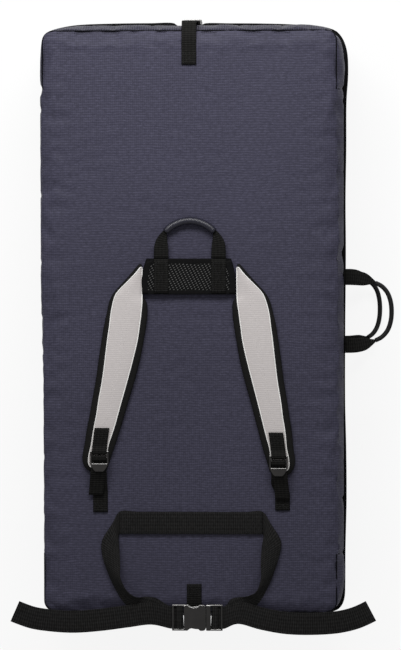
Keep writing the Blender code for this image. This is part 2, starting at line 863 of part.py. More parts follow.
def make_ladder_lock(side):
    centre_px = left_lock_centre_px if side == "left" else right_lock_centre_px
    drop = 0.0 if side == "left" else right_lock_drop_px
    x, top_y = at(centre_px, lock_top_px + drop)
    inside = strap_webbing_width / 2 + frame_side_gap
    outside = inside + frame_rail
    strap_z = face_z + fit_gap + strap_thickness + fit_gap * 1.3 + strap_face_thickness
    low = frame_thickness / 2 + webbing_thickness + fit_gap
    frame_z = strap_z + fit_gap * 2 + low
    # drawn along +X from the loop bar, then turned to run down the strap
    holder = bpy.data.objects.new("ladder_lock_place_" + side, None)
    parts.objects.link(holder)
    holder.location = (x, top_y - loop_bar / 2, frame_z)
    holder.rotation_euler = (0, 0, -math.pi / 2)
    lock = block(
        "ladder_lock_" + side,
        (loop_bar, outside * 2, loop_bar),
        (0, 0, 0),
    )
    rounded(lock, loop_bar * 0.3)
    add_frame(lock, loop_bar / 2, 1, inside, outside, lip_length, holder)
    lock.parent = holder
    paint(lock, black_mould, 0.35)

    line, load_z, tail_z = thread_line()
    start = loop_bar / 2
    bar_y = top_y - loop_bar / 2

    def down_strap(s, z, across):
        return Vector((x + across, bar_y - s, frame_z + z))

    half = strap_webbing_width / 2
    tail = [(start + s, z) for s, z in line]
    end_s = bar_y - at(0, tail_end_px + drop)[1]
    tail_fall = frame_z + tail_z - (face_z + fit_gap + layer_step + webbing_thickness)
    lip_end = start + inner_slot + lock_bar + outer_slot + lip_length
    tail.append((lip_end, tail_z))
    tail.append((lip_end + (end_s - lip_end) * 0.4, tail_z - tail_fall * 0.45))
    tail.append((end_s, tail_z - tail_fall * 0.85))
    ob = strip(
        "adjuster_tail_" + side,
        [down_strap(s, z, -half) for s, z in tail],
        [down_strap(s, z, half) for s, z in tail],
        webbing_thickness,
    )
    paint(ob, black_webbing, 0.8)

    anchor_px = left_anchor_centre_px if side == "left" else right_anchor_centre_px
    anchor_x, low_y = at(anchor_px, anchor_low_px - (0.0 if side == "left" else 2.0))
    rest_z = face_z + fit_gap + webbing_thickness / 2
    first = start + inner_slot + webbing_thickness * 0.6 + fit_gap
    begin = [
        (x, bar_y - first, frame_z + load_z),
        (x, bar_y - lip_end, frame_z + load_z),
    ]
    gone = begin[1][1] - low_y
    fall = frame_z + load_z - rest_z
    begin.append((x, begin[1][1] - gone * 0.25, rest_z + fall * 0.55))
    begin.append((anchor_x, begin[1][1] - gone * 0.5, rest_z + webbing_thickness / 2))
    begin.append((anchor_x, begin[1][1] - gone * 0.68, rest_z))
    begin.append((anchor_x, low_y, rest_z))
    ob = strip(
        "adjuster_anchor_" + side,
        [Vector((px - half, py, pz)) for px, py, pz in begin],
        [Vector((px + half, py, pz)) for px, py, pz in begin],
        webbing_thickness,
    )
    paint(ob, black_webbing, 0.8)

    # the webbing loop that holds the lock's bar, its two layers sewn to the strap
    inner = loop_bar / 2 + loop_clearance + webbing_thickness / 2
    length = at(0, loop_top_px + drop)[1] - bar_y
    low_layer = -low - fit_gap + webbing_thickness / 2
    top_layer = low_layer + layer_step
    rows = [(-length, low_layer), (-inner * 1.6, low_layer), (-inner * 0.7, -inner * 0.98)]
    for n in range(1, 8):
        turn = -math.pi / 2 + math.pi * n / 8
        rows.append((inner * math.cos(turn), inner * math.sin(turn)))
    rows += [
        (0.0, inner),
        (-inner * 1.2, inner * 0.92),
        (-inner * 3.0, top_layer + fit_gap * 2),
        (-inner * 4.0, top_layer),
        (-length, top_layer),
    ]
    ob = strip(
        "ladder_lock_loop_" + side,
        [down_strap(s, z, -half) for s, z in rows],
        [down_strap(s, z, half) for s, z in rows],
        webbing_thickness,
    )
    paint(ob, black_webbing, 0.8)


# Side-release buckles


def socket_outline(k):
    """The socket's plan, drawn in on both sides where its arms are pressed."""
    half_l = socket_length / 2 * k
    half_w = buckle_width / 2 * k
    corner = buckle_corner * k
    front = half_l - mouth_depth * k * 0.9
    back = -half_l + socket_back_wall * k * 1.2
    out = []
    for n in range(4):
        turn = math.pi / 2 * n / 3
        out.append(
            (
                half_l - corner + corner * math.cos(turn),
                half_w - corner + corner * math.sin(turn),
            )
        )
    for n in range(7):
        share = n / 6
        dip = math.sin(math.pi * share) ** 0.6 if 0 < n < 6 else 0.0
        out.append((front + (back - front) * share, half_w - waist_depth * k * dip))
    for n in range(4):
        turn = math.pi / 2 * (1 + n / 3)
        out.append(
            (
                -half_l + corner + corner * math.cos(turn),
                half_w - corner + corner * math.sin(turn),
            )
        )
    return out + [(x, -y) for x, y in out[::-1]]


def arms_outline(k):
    """The two spring arms in plan, joined at their roots like a fork."""
    mouth = socket_length / 2 * k
    tip = -mouth + socket_back_wall * k + overrun * k / 4
    root = mouth + fit_gap + plug_block * k * 0.6
    length = root - tip
    half = arm_span / 2 * k
    barb = barb_span / 2 * k
    side = [(root, half * 0.96)]
    side += [(tip + length * s, half * w) for s, w in arm_outer_shares[1:]]
    side += [(tip + length * s, barb * w) for s, w in barb_shares]
    side += [(tip + length * s, half * w) for s, w in arm_inner_shares]
    side.append((root - arm_bridge * k, half * 0.55))
    return side + [(x, -y) for x, y in side[::-1]]


def make_buckle(names, webbing_width, place):
    """A socket, a plug and the plug's spring arms, with frames for webbing at both ends.
    The plug pulls out along the place's +X."""
    k = webbing_width / belt_width
    half_l = socket_length / 2 * k
    half_w = buckle_width / 2 * k
    inside = webbing_width / 2 + frame_side_gap
    cavity = buckle_thickness - buckle_plate * 2
    holder = bpy.data.objects.new(names[0] + "_place", None)
    parts.objects.link(holder)
    holder.matrix_world = place

    socket = flat(names[0], [socket_outline(k)], buckle_thickness)
    rounded(socket, buckle_rounding)
    mouth = (arm_span / 2 + mouth_clearance) * k
    bore_length = (socket_length - socket_back_wall) * k
    bore = block(
        names[0] + "_bore",
        (bore_length + overrun, mouth * 2, cavity),
        (half_l - (bore_length - overrun) / 2, 0, 0),
    )
    modify(socket, "DIFFERENCE", bore, holder)
    window_length = (socket_length - socket_back_wall - mouth_depth) * k
    windows = block(
        names[0] + "_windows",
        (window_length, half_w * 2 + overrun, cavity),
        (half_l - mouth_depth * k - window_length / 2, 0, 0),
    )
    modify(socket, "DIFFERENCE", windows, holder)
    add_frame(socket, -half_l, -1, inside, half_w, end_bar, holder)
    socket.parent = holder
    paint(socket, black_mould, 0.35)

    first = half_l + fit_gap
    block_length = plug_block * k
    plug = block(names[1], (block_length, half_w * 2, buckle_thickness), (first + block_length / 2, 0, 0))
    rounded(plug, buckle_rounding)
    pocket_depth = block_length - pocket_wall * k
    pocket = block(
        names[1] + "_pocket",
        (pocket_depth + overrun, mouth * 2, arm_thickness + fit_gap * 2),
        (first + (pocket_depth - overrun) / 2, 0, 0),
    )
    modify(plug, "DIFFERENCE", pocket, holder)
    tongue_end = first + pocket_depth * 0.2
    tongue = block(
        names[1] + "_tongue",
        (tongue_length * k, tongue_width * k, arm_thickness),
        (tongue_end - tongue_length * k / 2, 0, 0),
    )
    rounded(tongue, buckle_rounding)
    modify(plug, "UNION", tongue, holder)
    root_length = pocket_depth * 0.8 + pocket_wall * k + overrun / 4
    root_low = -arm_thickness / 2
    root_high = arm_thickness * 0.04
    root = block(
        names[1] + "_tongue_root",
        (root_length, tongue_width * k, root_high - root_low),
        (tongue_end - overrun / 4 + root_length / 2, 0, (root_high + root_low) / 2),
    )
    modify(plug, "UNION", root, holder)
    add_frame(plug, first + block_length, 1, inside, half_w, end_bar, holder)
    plug.parent = holder
    paint(plug, black_mould, 0.35)

    arms = flat(names[2], [arms_outline(k)], arm_thickness)
    relief = block(
        names[2] + "_relief",
        (arm_bridge * k * 2 + overrun, (tongue_width + mouth_clearance) * k, arm_thickness),
        (first + pocket_depth, 0, root_high + fit_gap - arm_thickness / 2),
    )
    modify(arms, "DIFFERENCE", relief, holder)
    arms.parent = holder
    paint(arms, black_mould, 0.35)
    return holder


def placed(place, rows, width, sign, k):
    """Edges of threaded webbing in a buckle's place: rows are distances along and heights."""
    half_l = socket_length / 2 * k
    inner_end = half_l if sign < 0 else half_l + fit_gap + plug_block * k
    sides = ([], [])
    for along, height in rows:
        for side, way in zip(sides, (-1, 1)):
            side.append(place @ Vector((sign * (inner_end + along), way * width / 2, height)))
    return sides


# The waist belt


def make_belt():
    left_px, right_px, middle_px = band_px
    x0, y = at(left_px, middle_px)
    x1, _ = at(right_px, middle_px)
    low_z = face_z + fit_gap + webbing_thickness / 2
    half = belt_width / 2
    band = block(
        "waist_belt_band",
        (x1 - x0, belt_width, webbing_thickness),
        ((x0 + x1) / 2, y, low_z + layer_step),
    )
    paint(band, black_webbing, 0.8)
    bx, by = at(*buckle_centre_px)
    bz = face_z + buckle_height
    place = Matrix.Translation((bx, by, bz))
    make_buckle(("belt_buckle_socket", "belt_buckle_plug", "belt_buckle_arms"), belt_width, place)
    thread, load_z, tail_z = thread_line()
    frame_end = inner_slot + lock_bar + outer_slot + end_bar
    for side, sign in (("left", -1), ("right", 1)):
        wing = left_wing_px if side == "left" else right_wing_px
        tail = left_tail_px if side == "left" else right_tail_px
        tuck = belt_tuck_px * (1 if side == "left" else -1)
        edge_px = left_px if side == "left" else right_px
        outer = [Vector((*at(edge_px + tuck, 0)[:1], y + half, low_z))]
        inner = [Vector((*at(edge_px + tuck, 0)[:1], y - half, low_z))]
        for ox, oy, ix, iy, lift_o, lift_i in wing:
            outer.append(Vector((*at(ox, oy), low_z + wing_lift * lift_o)))
            inner.append(Vector((*at(ix, iy), low_z + wing_lift * lift_i)))
        outer[1].y, inner[1].y = y + half, y - half
        load_rows = [(frame_end + end_bar, load_z), thread[0]]
        if side == "right":
            load_rows[1] = (thread[0][0] + fit_gap, load_z)
        load = placed(place, load_rows, belt_width, sign, 1)
        tail_rows = thread[1:] + [(frame_end, tail_z), (frame_end + end_bar, tail_z)]
        over = placed(place, tail_rows, belt_width, sign, 1)
        middles = [Vector((*at(px, py), bz + tail_z + tail_rise * rise)) for px, py, rise in tail]
        end = line_rails(middles, [belt_width] * len(middles), (0, 0, 1))[::sign]
        if side == "left":
            a = outer + load[0] + over[0] + end[0]
            b = inner + load[1] + over[1] + end[1]
            paint(strip("waist_belt_left", a, b, webbing_thickness), black_webbing, 0.8)
            continue
        wing_piece = strip(
            "waist_belt_right_wing", outer + load[0], inner + load[1], webbing_thickness
        )
        paint(wing_piece, black_webbing, 0.8)
        start = placed(place, [thread[0]], belt_width, sign, 1)
        a = start[0] + over[0] + end[0]
        b = start[1] + over[1] + end[1]
        paint(strip("waist_belt_right_tail", a, b, webbing_thickness), black_webbing, 0.8)


# The closures


def make_closure(end):
    """Strap, buckle and anchor over one end. The buckle's +X points up the wall."""
    px, sewn_px = top_closure_px if end == "top" else bottom_closure_px
    x, sewn_y = at(px, sewn_px)
    way = 1 if end == "top" else -1
    k = closure_width / belt_width
    thread, load_z, tail_z = thread_line()
    wall = half_length + max(end_bulge, binding_clearance + binding_width)
    under = max(buckle_thickness / 2, webbing_thickness / 2 - load_z)
    stand = wall + closure_stand + fit_gap + under
    # local X up the wall, local Z out of it
    turn = Matrix(((0, way, 0, 0), (0, 0, way, 0), (1, 0, 0, 0), (0, 0, 0, 1)))
    place = Matrix.Translation((x, way * stand, closure_buckle_z)) @ turn
    prefix = end + "_closure_"
    make_buckle((prefix + "socket", prefix + "plug", prefix + "arms"), closure_width, place)
    half = closure_width / 2
    frame_end = inner_slot + lock_bar + outer_slot + end_bar
    strap_y = way * (stand + load_z)
    face_level = face_z + fit_gap + webbing_thickness / 2
    seam_level = face_z - seam_drop
    edge = half_length + webbing_thickness
    over = [
        (sewn_y, face_level),
        (way * (half_length - edge_band), face_level),
        (way * (half_length - edge_band / 3), face_level - closure_edge_lift / 3),
        (way * (edge + closure_edge_lift), seam_level + closure_edge_lift * 2),
        (strap_y - way * closure_edge_lift, seam_level - closure_edge_lift * 3),
        (strap_y, seam_level - edge_band / 2),
    ]
    rails = ([], [])
    for y, z in over:
        rails[0].append(Vector((x - half, y, z)))
        rails[1].append(Vector((x + half, y, z)))
    tail_rows = thread + [(frame_end, tail_z), (frame_end + closure_tail_length, tail_z)]
    a, b = placed(place, tail_rows, closure_width, 1, k)[::way]
    ob = strip(prefix + "strap", rails[0] + a, rails[1] + b, webbing_thickness)
    paint(ob, black_webbing, 0.8)
    # the socket's anchor comes from the lower seam, and its end is sewn back on it
    seam_y = way * (half_length + webbing_thickness)
    low = [
        (seam_y, seam_drop + webbing_thickness),
        ((seam_y + strap_y) / 2, seam_drop),
        (strap_y, seam_drop + webbing_thickness),
    ]
    rails = ([], [])
    for y, z in low:
        rails[0].append(Vector((x - half, y, z)))
        rails[1].append(Vector((x + half, y, z)))
    tail_rows = thread + [(frame_end, tail_z)]
    a, b = placed(place, tail_rows, closure_width, -1, k)[::way]
    ob = strip(prefix + "anchor", rails[0] + a, rails[1] + b, webbing_thickness)
    paint(ob, black_webbing, 0.8)


make_panel("front", False)
make_panel("back", True)
make_hinge_tape()
handle_y, handle_z = make_yoke()
make_grab_handle(handle_y, handle_z)
for strap_side in ("left", "right"):
    make_strap(strap_side)
    make_ladder_lock(strap_side)
make_belt()
make_closure("top")
make_closure("bottom")
make_side_handle("side_handle_back", middle_z + side_handle_height, 0.0)
make_side_handle("side_handle_front", side_handle_height, lower_handle_droop)
back_starts = (
    "back_",
    "yoke_",
    "handle_tab_",
    "grab_handle_axis",
    "strap_axis_",
    "ladder_lock_",
    "adjuster_",
    "waist_belt_",
    "belt_buckle_",
    "top_closure_strap",
    "bottom_closure_strap",
    "side_handle_back",
)
turned = [ob for ob in parts.objects if not ob.parent and ob.name.startswith(back_starts)]
joint_at("fold_axis", (hinge_x, 0, middle_z), turned)
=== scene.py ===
# %% [markdown]
# # A folding crash pad for bouldering
#
# The pad is two foam panels that close like a book and are carried like a rucksack. This lesson
# dresses its plain solid model: fabric covers, webbing, buckles, padded straps and their stitching.
# First the solid model is loaded. It gives every piece its place and says which body it moves with.

# %% Load the solid model
import json
import math

import bmesh
import bpy
from mathutils import Euler, Matrix, Vector, noise


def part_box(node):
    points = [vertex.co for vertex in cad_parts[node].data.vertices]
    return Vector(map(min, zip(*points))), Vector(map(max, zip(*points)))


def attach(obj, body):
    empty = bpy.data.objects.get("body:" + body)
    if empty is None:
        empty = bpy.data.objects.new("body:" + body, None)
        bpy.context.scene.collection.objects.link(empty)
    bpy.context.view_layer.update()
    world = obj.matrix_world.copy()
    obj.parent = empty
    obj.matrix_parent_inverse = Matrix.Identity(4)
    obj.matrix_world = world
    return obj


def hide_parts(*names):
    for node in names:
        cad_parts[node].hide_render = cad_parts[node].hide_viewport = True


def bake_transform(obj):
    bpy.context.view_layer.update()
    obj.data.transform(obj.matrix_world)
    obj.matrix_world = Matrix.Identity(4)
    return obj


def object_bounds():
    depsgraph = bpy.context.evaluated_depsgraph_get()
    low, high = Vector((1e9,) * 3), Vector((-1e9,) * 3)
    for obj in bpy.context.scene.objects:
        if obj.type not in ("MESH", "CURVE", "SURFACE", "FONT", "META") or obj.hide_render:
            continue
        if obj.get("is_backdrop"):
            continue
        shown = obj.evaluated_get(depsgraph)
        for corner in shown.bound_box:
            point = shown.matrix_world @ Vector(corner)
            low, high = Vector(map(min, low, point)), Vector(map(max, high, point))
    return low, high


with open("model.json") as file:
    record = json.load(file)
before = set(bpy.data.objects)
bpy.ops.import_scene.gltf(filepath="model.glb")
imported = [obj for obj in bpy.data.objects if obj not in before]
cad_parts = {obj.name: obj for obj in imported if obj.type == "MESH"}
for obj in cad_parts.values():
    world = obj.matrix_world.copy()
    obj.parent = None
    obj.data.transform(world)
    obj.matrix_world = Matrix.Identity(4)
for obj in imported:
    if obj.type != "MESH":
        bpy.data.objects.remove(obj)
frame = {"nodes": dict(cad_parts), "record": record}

cad_box = [list(corner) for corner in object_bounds()]
record = frame["record"]
BODY_OF = {n: b for b, names in record["behaviour"]["bodies"].items() for n in names}
SLOT_OF = {item["node"]: item["material_slot"] for item in record["subparts"]}
print("box in mm:", [[round(v * 1000) for v in corner] for corner in cad_box])

# %% [markdown]
# ## Sizes
#
# Places on the carry face were read from the photograph, where a pixel is 1.7 mm. Heights are in
# metres over the floor: the panels meet at 0.100 and the carry face is at 0.200. Pieces that lie
# on each other keep a gap of 0.3 mm, and webbing is 1.6 mm thick.

# %% Sizes and places
PIXEL = 0.0017
FACE_CENTRE = (189.7, 321.6)
FACE_Z, MEET_Z = 0.200, 0.100
HALF_W, HALF_L = 0.249, 0.494
GAP, WEB = 0.0003, 0.0016
LAYER = WEB + GAP
BELT, STRAP_WEB = 0.038, 0.025
WEB_HALF = STRAP_WEB / 2


def spot(px, py, z=0.0):
    """A point over the carry face from its place in the photograph."""
    return Vector(((px - FACE_CENTRE[0]) * PIXEL, (FACE_CENTRE[1] - py) * PIXEL, z))


def clamp(value, low=0.0, high=1.0):
    return max(low, min(high, value))


# %% [markdown]
# ## Camera and light
#
# The photograph looks almost straight down on the carry face, from a little towards the top and
# the right. A long lens from 6 m keeps the sides nearly parallel. A plain white sky lights the pad
# from all round, and looks white to the camera. One soft box beyond the top end makes that end
# wall bright and lets the fabric darken slowly towards the belt.

# %% Camera
IMAGE = (401, 650)
EYE_PLACE = Vector((0.305, 0.238, 6.2))
EYE_TURN = Euler([math.radians(angle) for angle in (-2.32, 2.73, -0.11)])
scene = bpy.context.scene
camera_data = bpy.data.cameras.new("camera")
camera_data.sensor_width, camera_data.lens = 36, 196.16
camera_data.clip_start, camera_data.clip_end = 0.05, 60
camera = bpy.data.objects.new("camera", camera_data)
camera.location, camera.rotation_euler = EYE_PLACE, EYE_TURN
scene.collection.objects.link(camera)
bpy.context.scene.camera = camera
FOCAL = camera_data.lens / camera_data.sensor_width * IMAGE[1]


def seen(px, py, z):
    """The point at this height that the camera shows at this place in the photograph."""
    sight = Vector(((px - IMAGE[0] / 2) / FOCAL, (IMAGE[1] / 2 - py) / FOCAL, -1))
    way = EYE_TURN.to_matrix() @ sight
    return EYE_PLACE + way * (z - EYE_PLACE.z) / way.z


print("lens in mm:", round(camera_data.lens, 1))


# %% Helpers for nodes
def put(tree, kind, inputs=None, **settings):
    """Adds a node, sets it, and links each input that is given another node's socket."""
    node = tree.nodes.new(kind)
    for key, value in settings.items():
        setattr(node, key, value)
    for key, value in (inputs or {}).items():
        if isinstance(value, bpy.types.NodeSocket):
            tree.links.new(value, node.inputs[key])
        else:
            node.inputs[key].default_value = value
    return node


def sums(tree, operation, a, b=0.0, c=0.0):
    return put(tree, "ShaderNodeMath", {0: a, 1: b, 2: c}, operation=operation).outputs[0]


# %% Light
SKY_LIGHT, SKY_SEEN, BOX_WATTS = 0.36, 1.0, 37
scene.view_settings.view_transform = "Standard"
scene.world = bpy.data.worlds.new("studio")
scene.world.use_nodes = True
air = scene.world.node_tree
sky = air.nodes["Background"].inputs
sky["Color"].default_value = (1, 1, 1, 1)
rays = put(air, "ShaderNodeLightPath").outputs
levels = {"Value": rays["Is Camera Ray"], "To Min": SKY_LIGHT, "To Max": SKY_SEEN}
air.links.new(put(air, "ShaderNodeMapRange", levels).outputs["Result"], sky["Strength"])

softbox = bpy.data.lights.new("end_softbox", "AREA")
softbox.shape, softbox.energy = "RECTANGLE", BOX_WATTS
softbox.size, softbox.size_y = 1.6, 0.6
lamp = bpy.data.objects.new("end_softbox", softbox)
lamp.location, aim = Vector((-0.1, 1.45, 1.4)), Vector((0, 0.1, 0.1))
lamp.rotation_mode = "QUATERNION"
lamp.rotation_quaternion = (lamp.location - aim).to_track_quat("Z", "Y")
scene.collection.objects.link(lamp)
print("soft box in watts:", BOX_WATTS)

# %% [markdown]
# ## Shader groups
#
# Every cloth here is woven, so one group makes ribs and threads for all of them. It reads the
# piece's UV map, which is laid out in metres with its second direction along the rib count. A
# second group makes the slow stains and handling marks that keep large areas from looking flat.

# %% Helpers for groups
def new_group(name, inputs, outputs):
    """A shader group with named number sockets and a Vector, with its inputs and its output node."""
    tree = bpy.data.node_groups.new(name, "ShaderNodeTree")
    tree.interface.new_socket("Vector", in_out="INPUT", socket_type="NodeSocketVector")
    for label, value in inputs.items():
        socket = tree.interface.new_socket(label, in_out="INPUT", socket_type="NodeSocketFloat")
        socket.default_value = value
    for label in outputs:
        tree.interface.new_socket(label, in_out="OUTPUT", socket_type="NodeSocketFloat")
    return tree, tree.nodes.new("NodeGroupInput").outputs, tree.nodes.new("NodeGroupOutput").inputs


def spread(tree, value, low, high):
    """Stretches what lies between low and high over 0 to 1."""
    values = {"Value": value, "From Min": low, "From Max": high}
    return put(tree, "ShaderNodeMapRange", values).outputs["Result"]


def clouds(tree, where, scale, detail, roughness):
    """Soft noise between 0 and 1."""
    values = {"Vector": where, "Scale": scale, "Detail": detail, "Roughness": roughness}
    return put(tree, "ShaderNodeTexNoise", values).outputs["Fac"]


def wave(tree, angle):
    """A sine wave between 0 and 1."""
    return sums(tree, "MULTIPLY_ADD", sums(tree, "SINE", angle), 0.5, 0.5)


# %% Weave
sizes = {"Rib pitch": 0.002, "Thread pitch": 0.001, "Broken": 0.3, "Waver": 0.0}
weave, given, wanted = new_group("weave", sizes, ["Height", "Streak"])
drift = sums(weave, "SUBTRACT", clouds(weave, given["Vector"], 14.0, 2.0, 0.5), 0.5)
moved = put(weave, "ShaderNodeCombineXYZ", {"Y": sums(weave, "MULTIPLY", drift, given["Waver"])}).outputs[0]
swayed = put(weave, "ShaderNodeVectorMath", {0: given["Vector"], 1: moved}, operation="ADD").outputs[0]
place = put(weave, "ShaderNodeSeparateXYZ", {0: swayed}).outputs
ribs, threads = [
    wave(weave, sums(weave, "MULTIPLY", sums(weave, "DIVIDE", place[axis], given[pitch]), 2 * math.pi))
    for axis, pitch in (("Y", "Rib pitch"), ("X", "Thread pitch"))
]
YARN_STRETCH = (150, 330, 28)
yarn = put(weave, "ShaderNodeVectorMath", {0: given["Vector"], 1: YARN_STRETCH}, operation="MULTIPLY")
streak = spread(weave, clouds(weave, yarn.outputs[0], 1.0, 2.0, 0.6), 0.32, 0.68)
whole = sums(weave, "SUBTRACT", 1.0, sums(weave, "MULTIPLY", streak, given["Broken"]))
RIB_SHARE, THREAD_SHARE = 0.72, 0.28
ribs = sums(weave, "MULTIPLY", sums(weave, "MULTIPLY", ribs, whole), RIB_SHARE)
weave.links.new(sums(weave, "MULTIPLY_ADD", threads, THREAD_SHARE, ribs), wanted["Height"])
weave.links.new(streak, wanted["Streak"])

# %% Handling marks
marks, given, wanted = new_group("handling_marks", {"Size": 6.0}, ["Cloud", "Fine"])
for label, factor, low, high in (("Cloud", 1.0, 0.3, 0.7), ("Fine", 22.0, 0.38, 0.72)):
    field = clouds(marks, given["Vector"], sums(marks, "MULTIPLY", given["Size"], factor), 4.0, 0.62)
    marks.links.new(spread(marks, field, low, high), wanted[label])
print("groups:", [g.name for g in bpy.data.node_groups])

# %% [markdown]
# ## Finishes
#
# Cloth: the weave group feeds colour and a bump in real depth, so ribs show as fine light and dark lines. Its
# gloss is low and set on the shader itself. Moulded plastic: nearly black, satin, with a fine grain. On the
# buckles, sloping faces that look up towards the soft box get a near-white painted highlight, and the other
# sloping edge faces a slightly lighter painted sheen. Each finish keeps its own values in one call.

# %% Cloth finish
STREAKS, CLOUDS, FINE_MARKS, HANDLED = -0.35, 0.18, 0.12, -0.12


def new_material(name):
    """A material and its node tree."""
    material = bpy.data.materials.new(name)
    material.use_nodes = True
    return material, material.node_tree


def tone(colour, factor):
    """A colour made darker or lighter, as a socket wants it."""
    return [c * factor for c in colour] + [1]


def surface(tree, light, dark, pale, height, depth, strength=1.0):
    """Feeds the shader a colour between two and a bump in metres, and gives the shader's inputs."""
    inputs = tree.nodes["Principled BSDF"].inputs
    tint = put(tree, "ShaderNodeMix", {"Factor": light, 6: dark, 7: pale}, data_type="RGBA")
    bump = put(tree, "ShaderNodeBump", {"Height": height, "Distance": depth, "Strength": strength})
    tree.links.new(tint.outputs[2], inputs["Base Color"])
    tree.links.new(bump.outputs["Normal"], inputs["Normal"])
    return inputs


def cloth(name, colour, rib, thread, depth, rough, gloss, contrast, broken=0.3, waver=0.0):
    """A woven finish. Rib, thread and depth are in metres."""
    material, tree = new_material(name)
    where = put(tree, "ShaderNodeTexCoord").outputs
    sizes = {"Rib pitch": rib, "Thread pitch": thread, "Broken": broken, "Waver": waver}
    cross = put(tree, "ShaderNodeGroup", {"Vector": where["UV"], **sizes}, node_tree=weave).outputs
    hand = put(tree, "ShaderNodeGroup", {"Vector": where["Object"]}, node_tree=marks).outputs
    light = sums(tree, "MULTIPLY_ADD", cross["Streak"], STREAKS, cross["Height"])
    light = sums(tree, "MULTIPLY_ADD", hand["Cloud"], CLOUDS, light)
    light = sums(tree, "MULTIPLY_ADD", hand["Fine"], FINE_MARKS, light)
    dark, pale = tone(colour, 1 - contrast), tone(colour, 1 + contrast)
    shader = surface(tree, light, dark, pale, cross["Height"], depth)
    wear = sums(tree, "MULTIPLY_ADD", hand["Cloud"], HANDLED, rough - HANDLED / 2)
    tree.links.new(wear, shader["Roughness"])
    shader["Specular IOR Level"].default_value = gloss
    return material


# The columns: name, colour, rib, thread, depth, roughness, gloss, contrast, broken ribs, waver.
slate = cloth(
    "slate_laminate", (0.0520, 0.0500, 0.0785), 0.0043, 0.0034, 0.00020, 0.6, 0.14, 0.31, 0.8, 0.008
)
# The end walls' copy of the slate, darker as painted shade because the soft box lights those walls more than
# the face.
slate_end_painted_shade = cloth("slate_end_wall_painted_shade", (0.0315, 0.0300, 0.0480), 0.0040, 0.0040, 0.00060, 0.55, 0.2, 0.6, 0.2)
webbing_black = cloth("black_webbing", (0.0078, 0.0076, 0.0071), 0.0038, 0.0060, 0.00050, 0.7, 0.08, 0.6)
belt_black = cloth("belt_webbing", (0.0140, 0.0137, 0.0135), 0.0038, 0.0060, 0.00050, 0.7, 0.08, 0.6)
binding_black = cloth("binding_tape", (0.0050, 0.0050, 0.0052), 0.0020, 0.0020, 0.00012, 0.7, 0.06, 0.3)
border_black = cloth("strap_border", (0.0085, 0.0083, 0.0080), 0.0020, 0.0020, 0.00012, 0.65, 0.1, 0.3)
strap_light = cloth("strap_face", (0.545, 0.510, 0.502), 0.0036, 0.0012, 0.00016, 0.7, 0.2, 0.07, 0.5, 0.006)
strap_edge = cloth("strap_turned_edge", (0.86, 0.85, 0.83), 0.0030, 0.0012, 0.00010, 0.6, 0.3, 0.05)
grip_lilac = cloth("grip_fabric", (0.0125, 0.0122, 0.0230), 0.0024, 0.0030, 0.00030, 0.34, 0.55, 0.5)
grip_black = cloth("grip_black", (0.0085, 0.0080, 0.0082), 0.0016, 0.0030, 0.00014, 0.6, 0.2, 0.3)
thread_black = cloth("sewing_thread", (0.016, 0.016, 0.017), 0.0005, 0.0005, 0.00003, 0.6, 0.2, 0.2)
thread_slate = cloth("slate_thread", (0.040, 0.039, 0.055), 0.0005, 0.0005, 0.00003, 0.6, 0.2, 0.2)
# Painted shade: near-black for the thin tubes along the end seams and gussets, standing for the shade in the
# seams' grooves.
seam_painted_shade = cloth("seam_line_painted_shade", (0.0045, 0.0045, 0.0060), 0.0010, 0.0010, 0.00003, 0.7, 0.05, 0.2)
print("cloth finishes:", len(bpy.data.materials))


# %% Moulded and metal finishes
def moulded(name, colour, rough, metallic=0.0, grain=0.00004):
    """A smooth finish with a fine grain, whose depth is in metres."""
    material, tree = new_material(name)
    where = put(tree, "ShaderNodeTexCoord").outputs["Object"]
    hand = put(tree, "ShaderNodeGroup", {"Vector": where, "Size": 40.0}, node_tree=marks).outputs
    shader = surface(tree, hand["Cloud"], tone(colour, 0.8), tone(colour, 1.25), hand["Fine"], grain,
                     strength=0.6)
    tree.links.new(sums(tree, "MULTIPLY_ADD", hand["Fine"], FINE_MARKS, rough), shader["Roughness"])
    shader["Metallic"].default_value = metallic
    return material


buckle_black = moulded("buckle_acetal", (0.0175, 0.0160, 0.0155), 0.30)
# Painted highlight: a near-white colour for the sloping buckle faces that look up towards the soft box.
buckle_painted_highlight = moulded("buckle_edge_painted_highlight", (0.85, 0.84, 0.82), 0.2)
# Painted sheen: a little lighter than the plastic, for the sloping edge faces that do not look towards the
# soft box.
buckle_painted_sheen = moulded("buckle_rim_painted_sheen", (0.022, 0.021, 0.020), 0.32)
slider_metal = moulded("zip_slider_metal", (0.06, 0.06, 0.06), 0.35, metallic=0.8)
coil_black = moulded("zip_coil", (0.012, 0.012, 0.013), 0.4)
foam_pale = moulded("foam", (0.3, 0.3, 0.31), 0.9, grain=0.0004)

# %% Spacer mesh finish
mesh_black, tree = new_material("spacer_mesh")
place = put(tree, "ShaderNodeSeparateXYZ", {0: put(tree, "ShaderNodeTexCoord").outputs["UV"]}).outputs
# The lean and the pitch in metres of each set of the mesh's cords.
CORD_SETS = ((-1.54, 0.0071), (0.5, 0.0062))
lines = []
for lean, pitch in CORD_SETS:
    slant = sums(tree, "MULTIPLY_ADD", place["Y"], lean, place["X"])
    lines.append(wave(tree, sums(tree, "MULTIPLY", slant, 2 * math.pi / pitch)))
cells = sums(tree, "MULTIPLY", sums(tree, "POWER", lines[0], 2.0), lines[1])
flecks, raised = spread(tree, cells, 0.26, 0.70), spread(tree, cells, 0.2, 0.75)
shader = surface(tree, flecks, (0.0030, 0.0030, 0.0033, 1), (0.115, 0.115, 0.112, 1), raised, 0.0008)
shader["Roughness"].default_value, shader["Specular IOR Level"].default_value = 0.6, 0.08
print("finishes:", len(bpy.data.materials))

# %% [markdown]
# ## Floor
#
# A white sheet under the pad. To the camera it is nearly white by itself, and it keeps the pad's
# soft shadow.

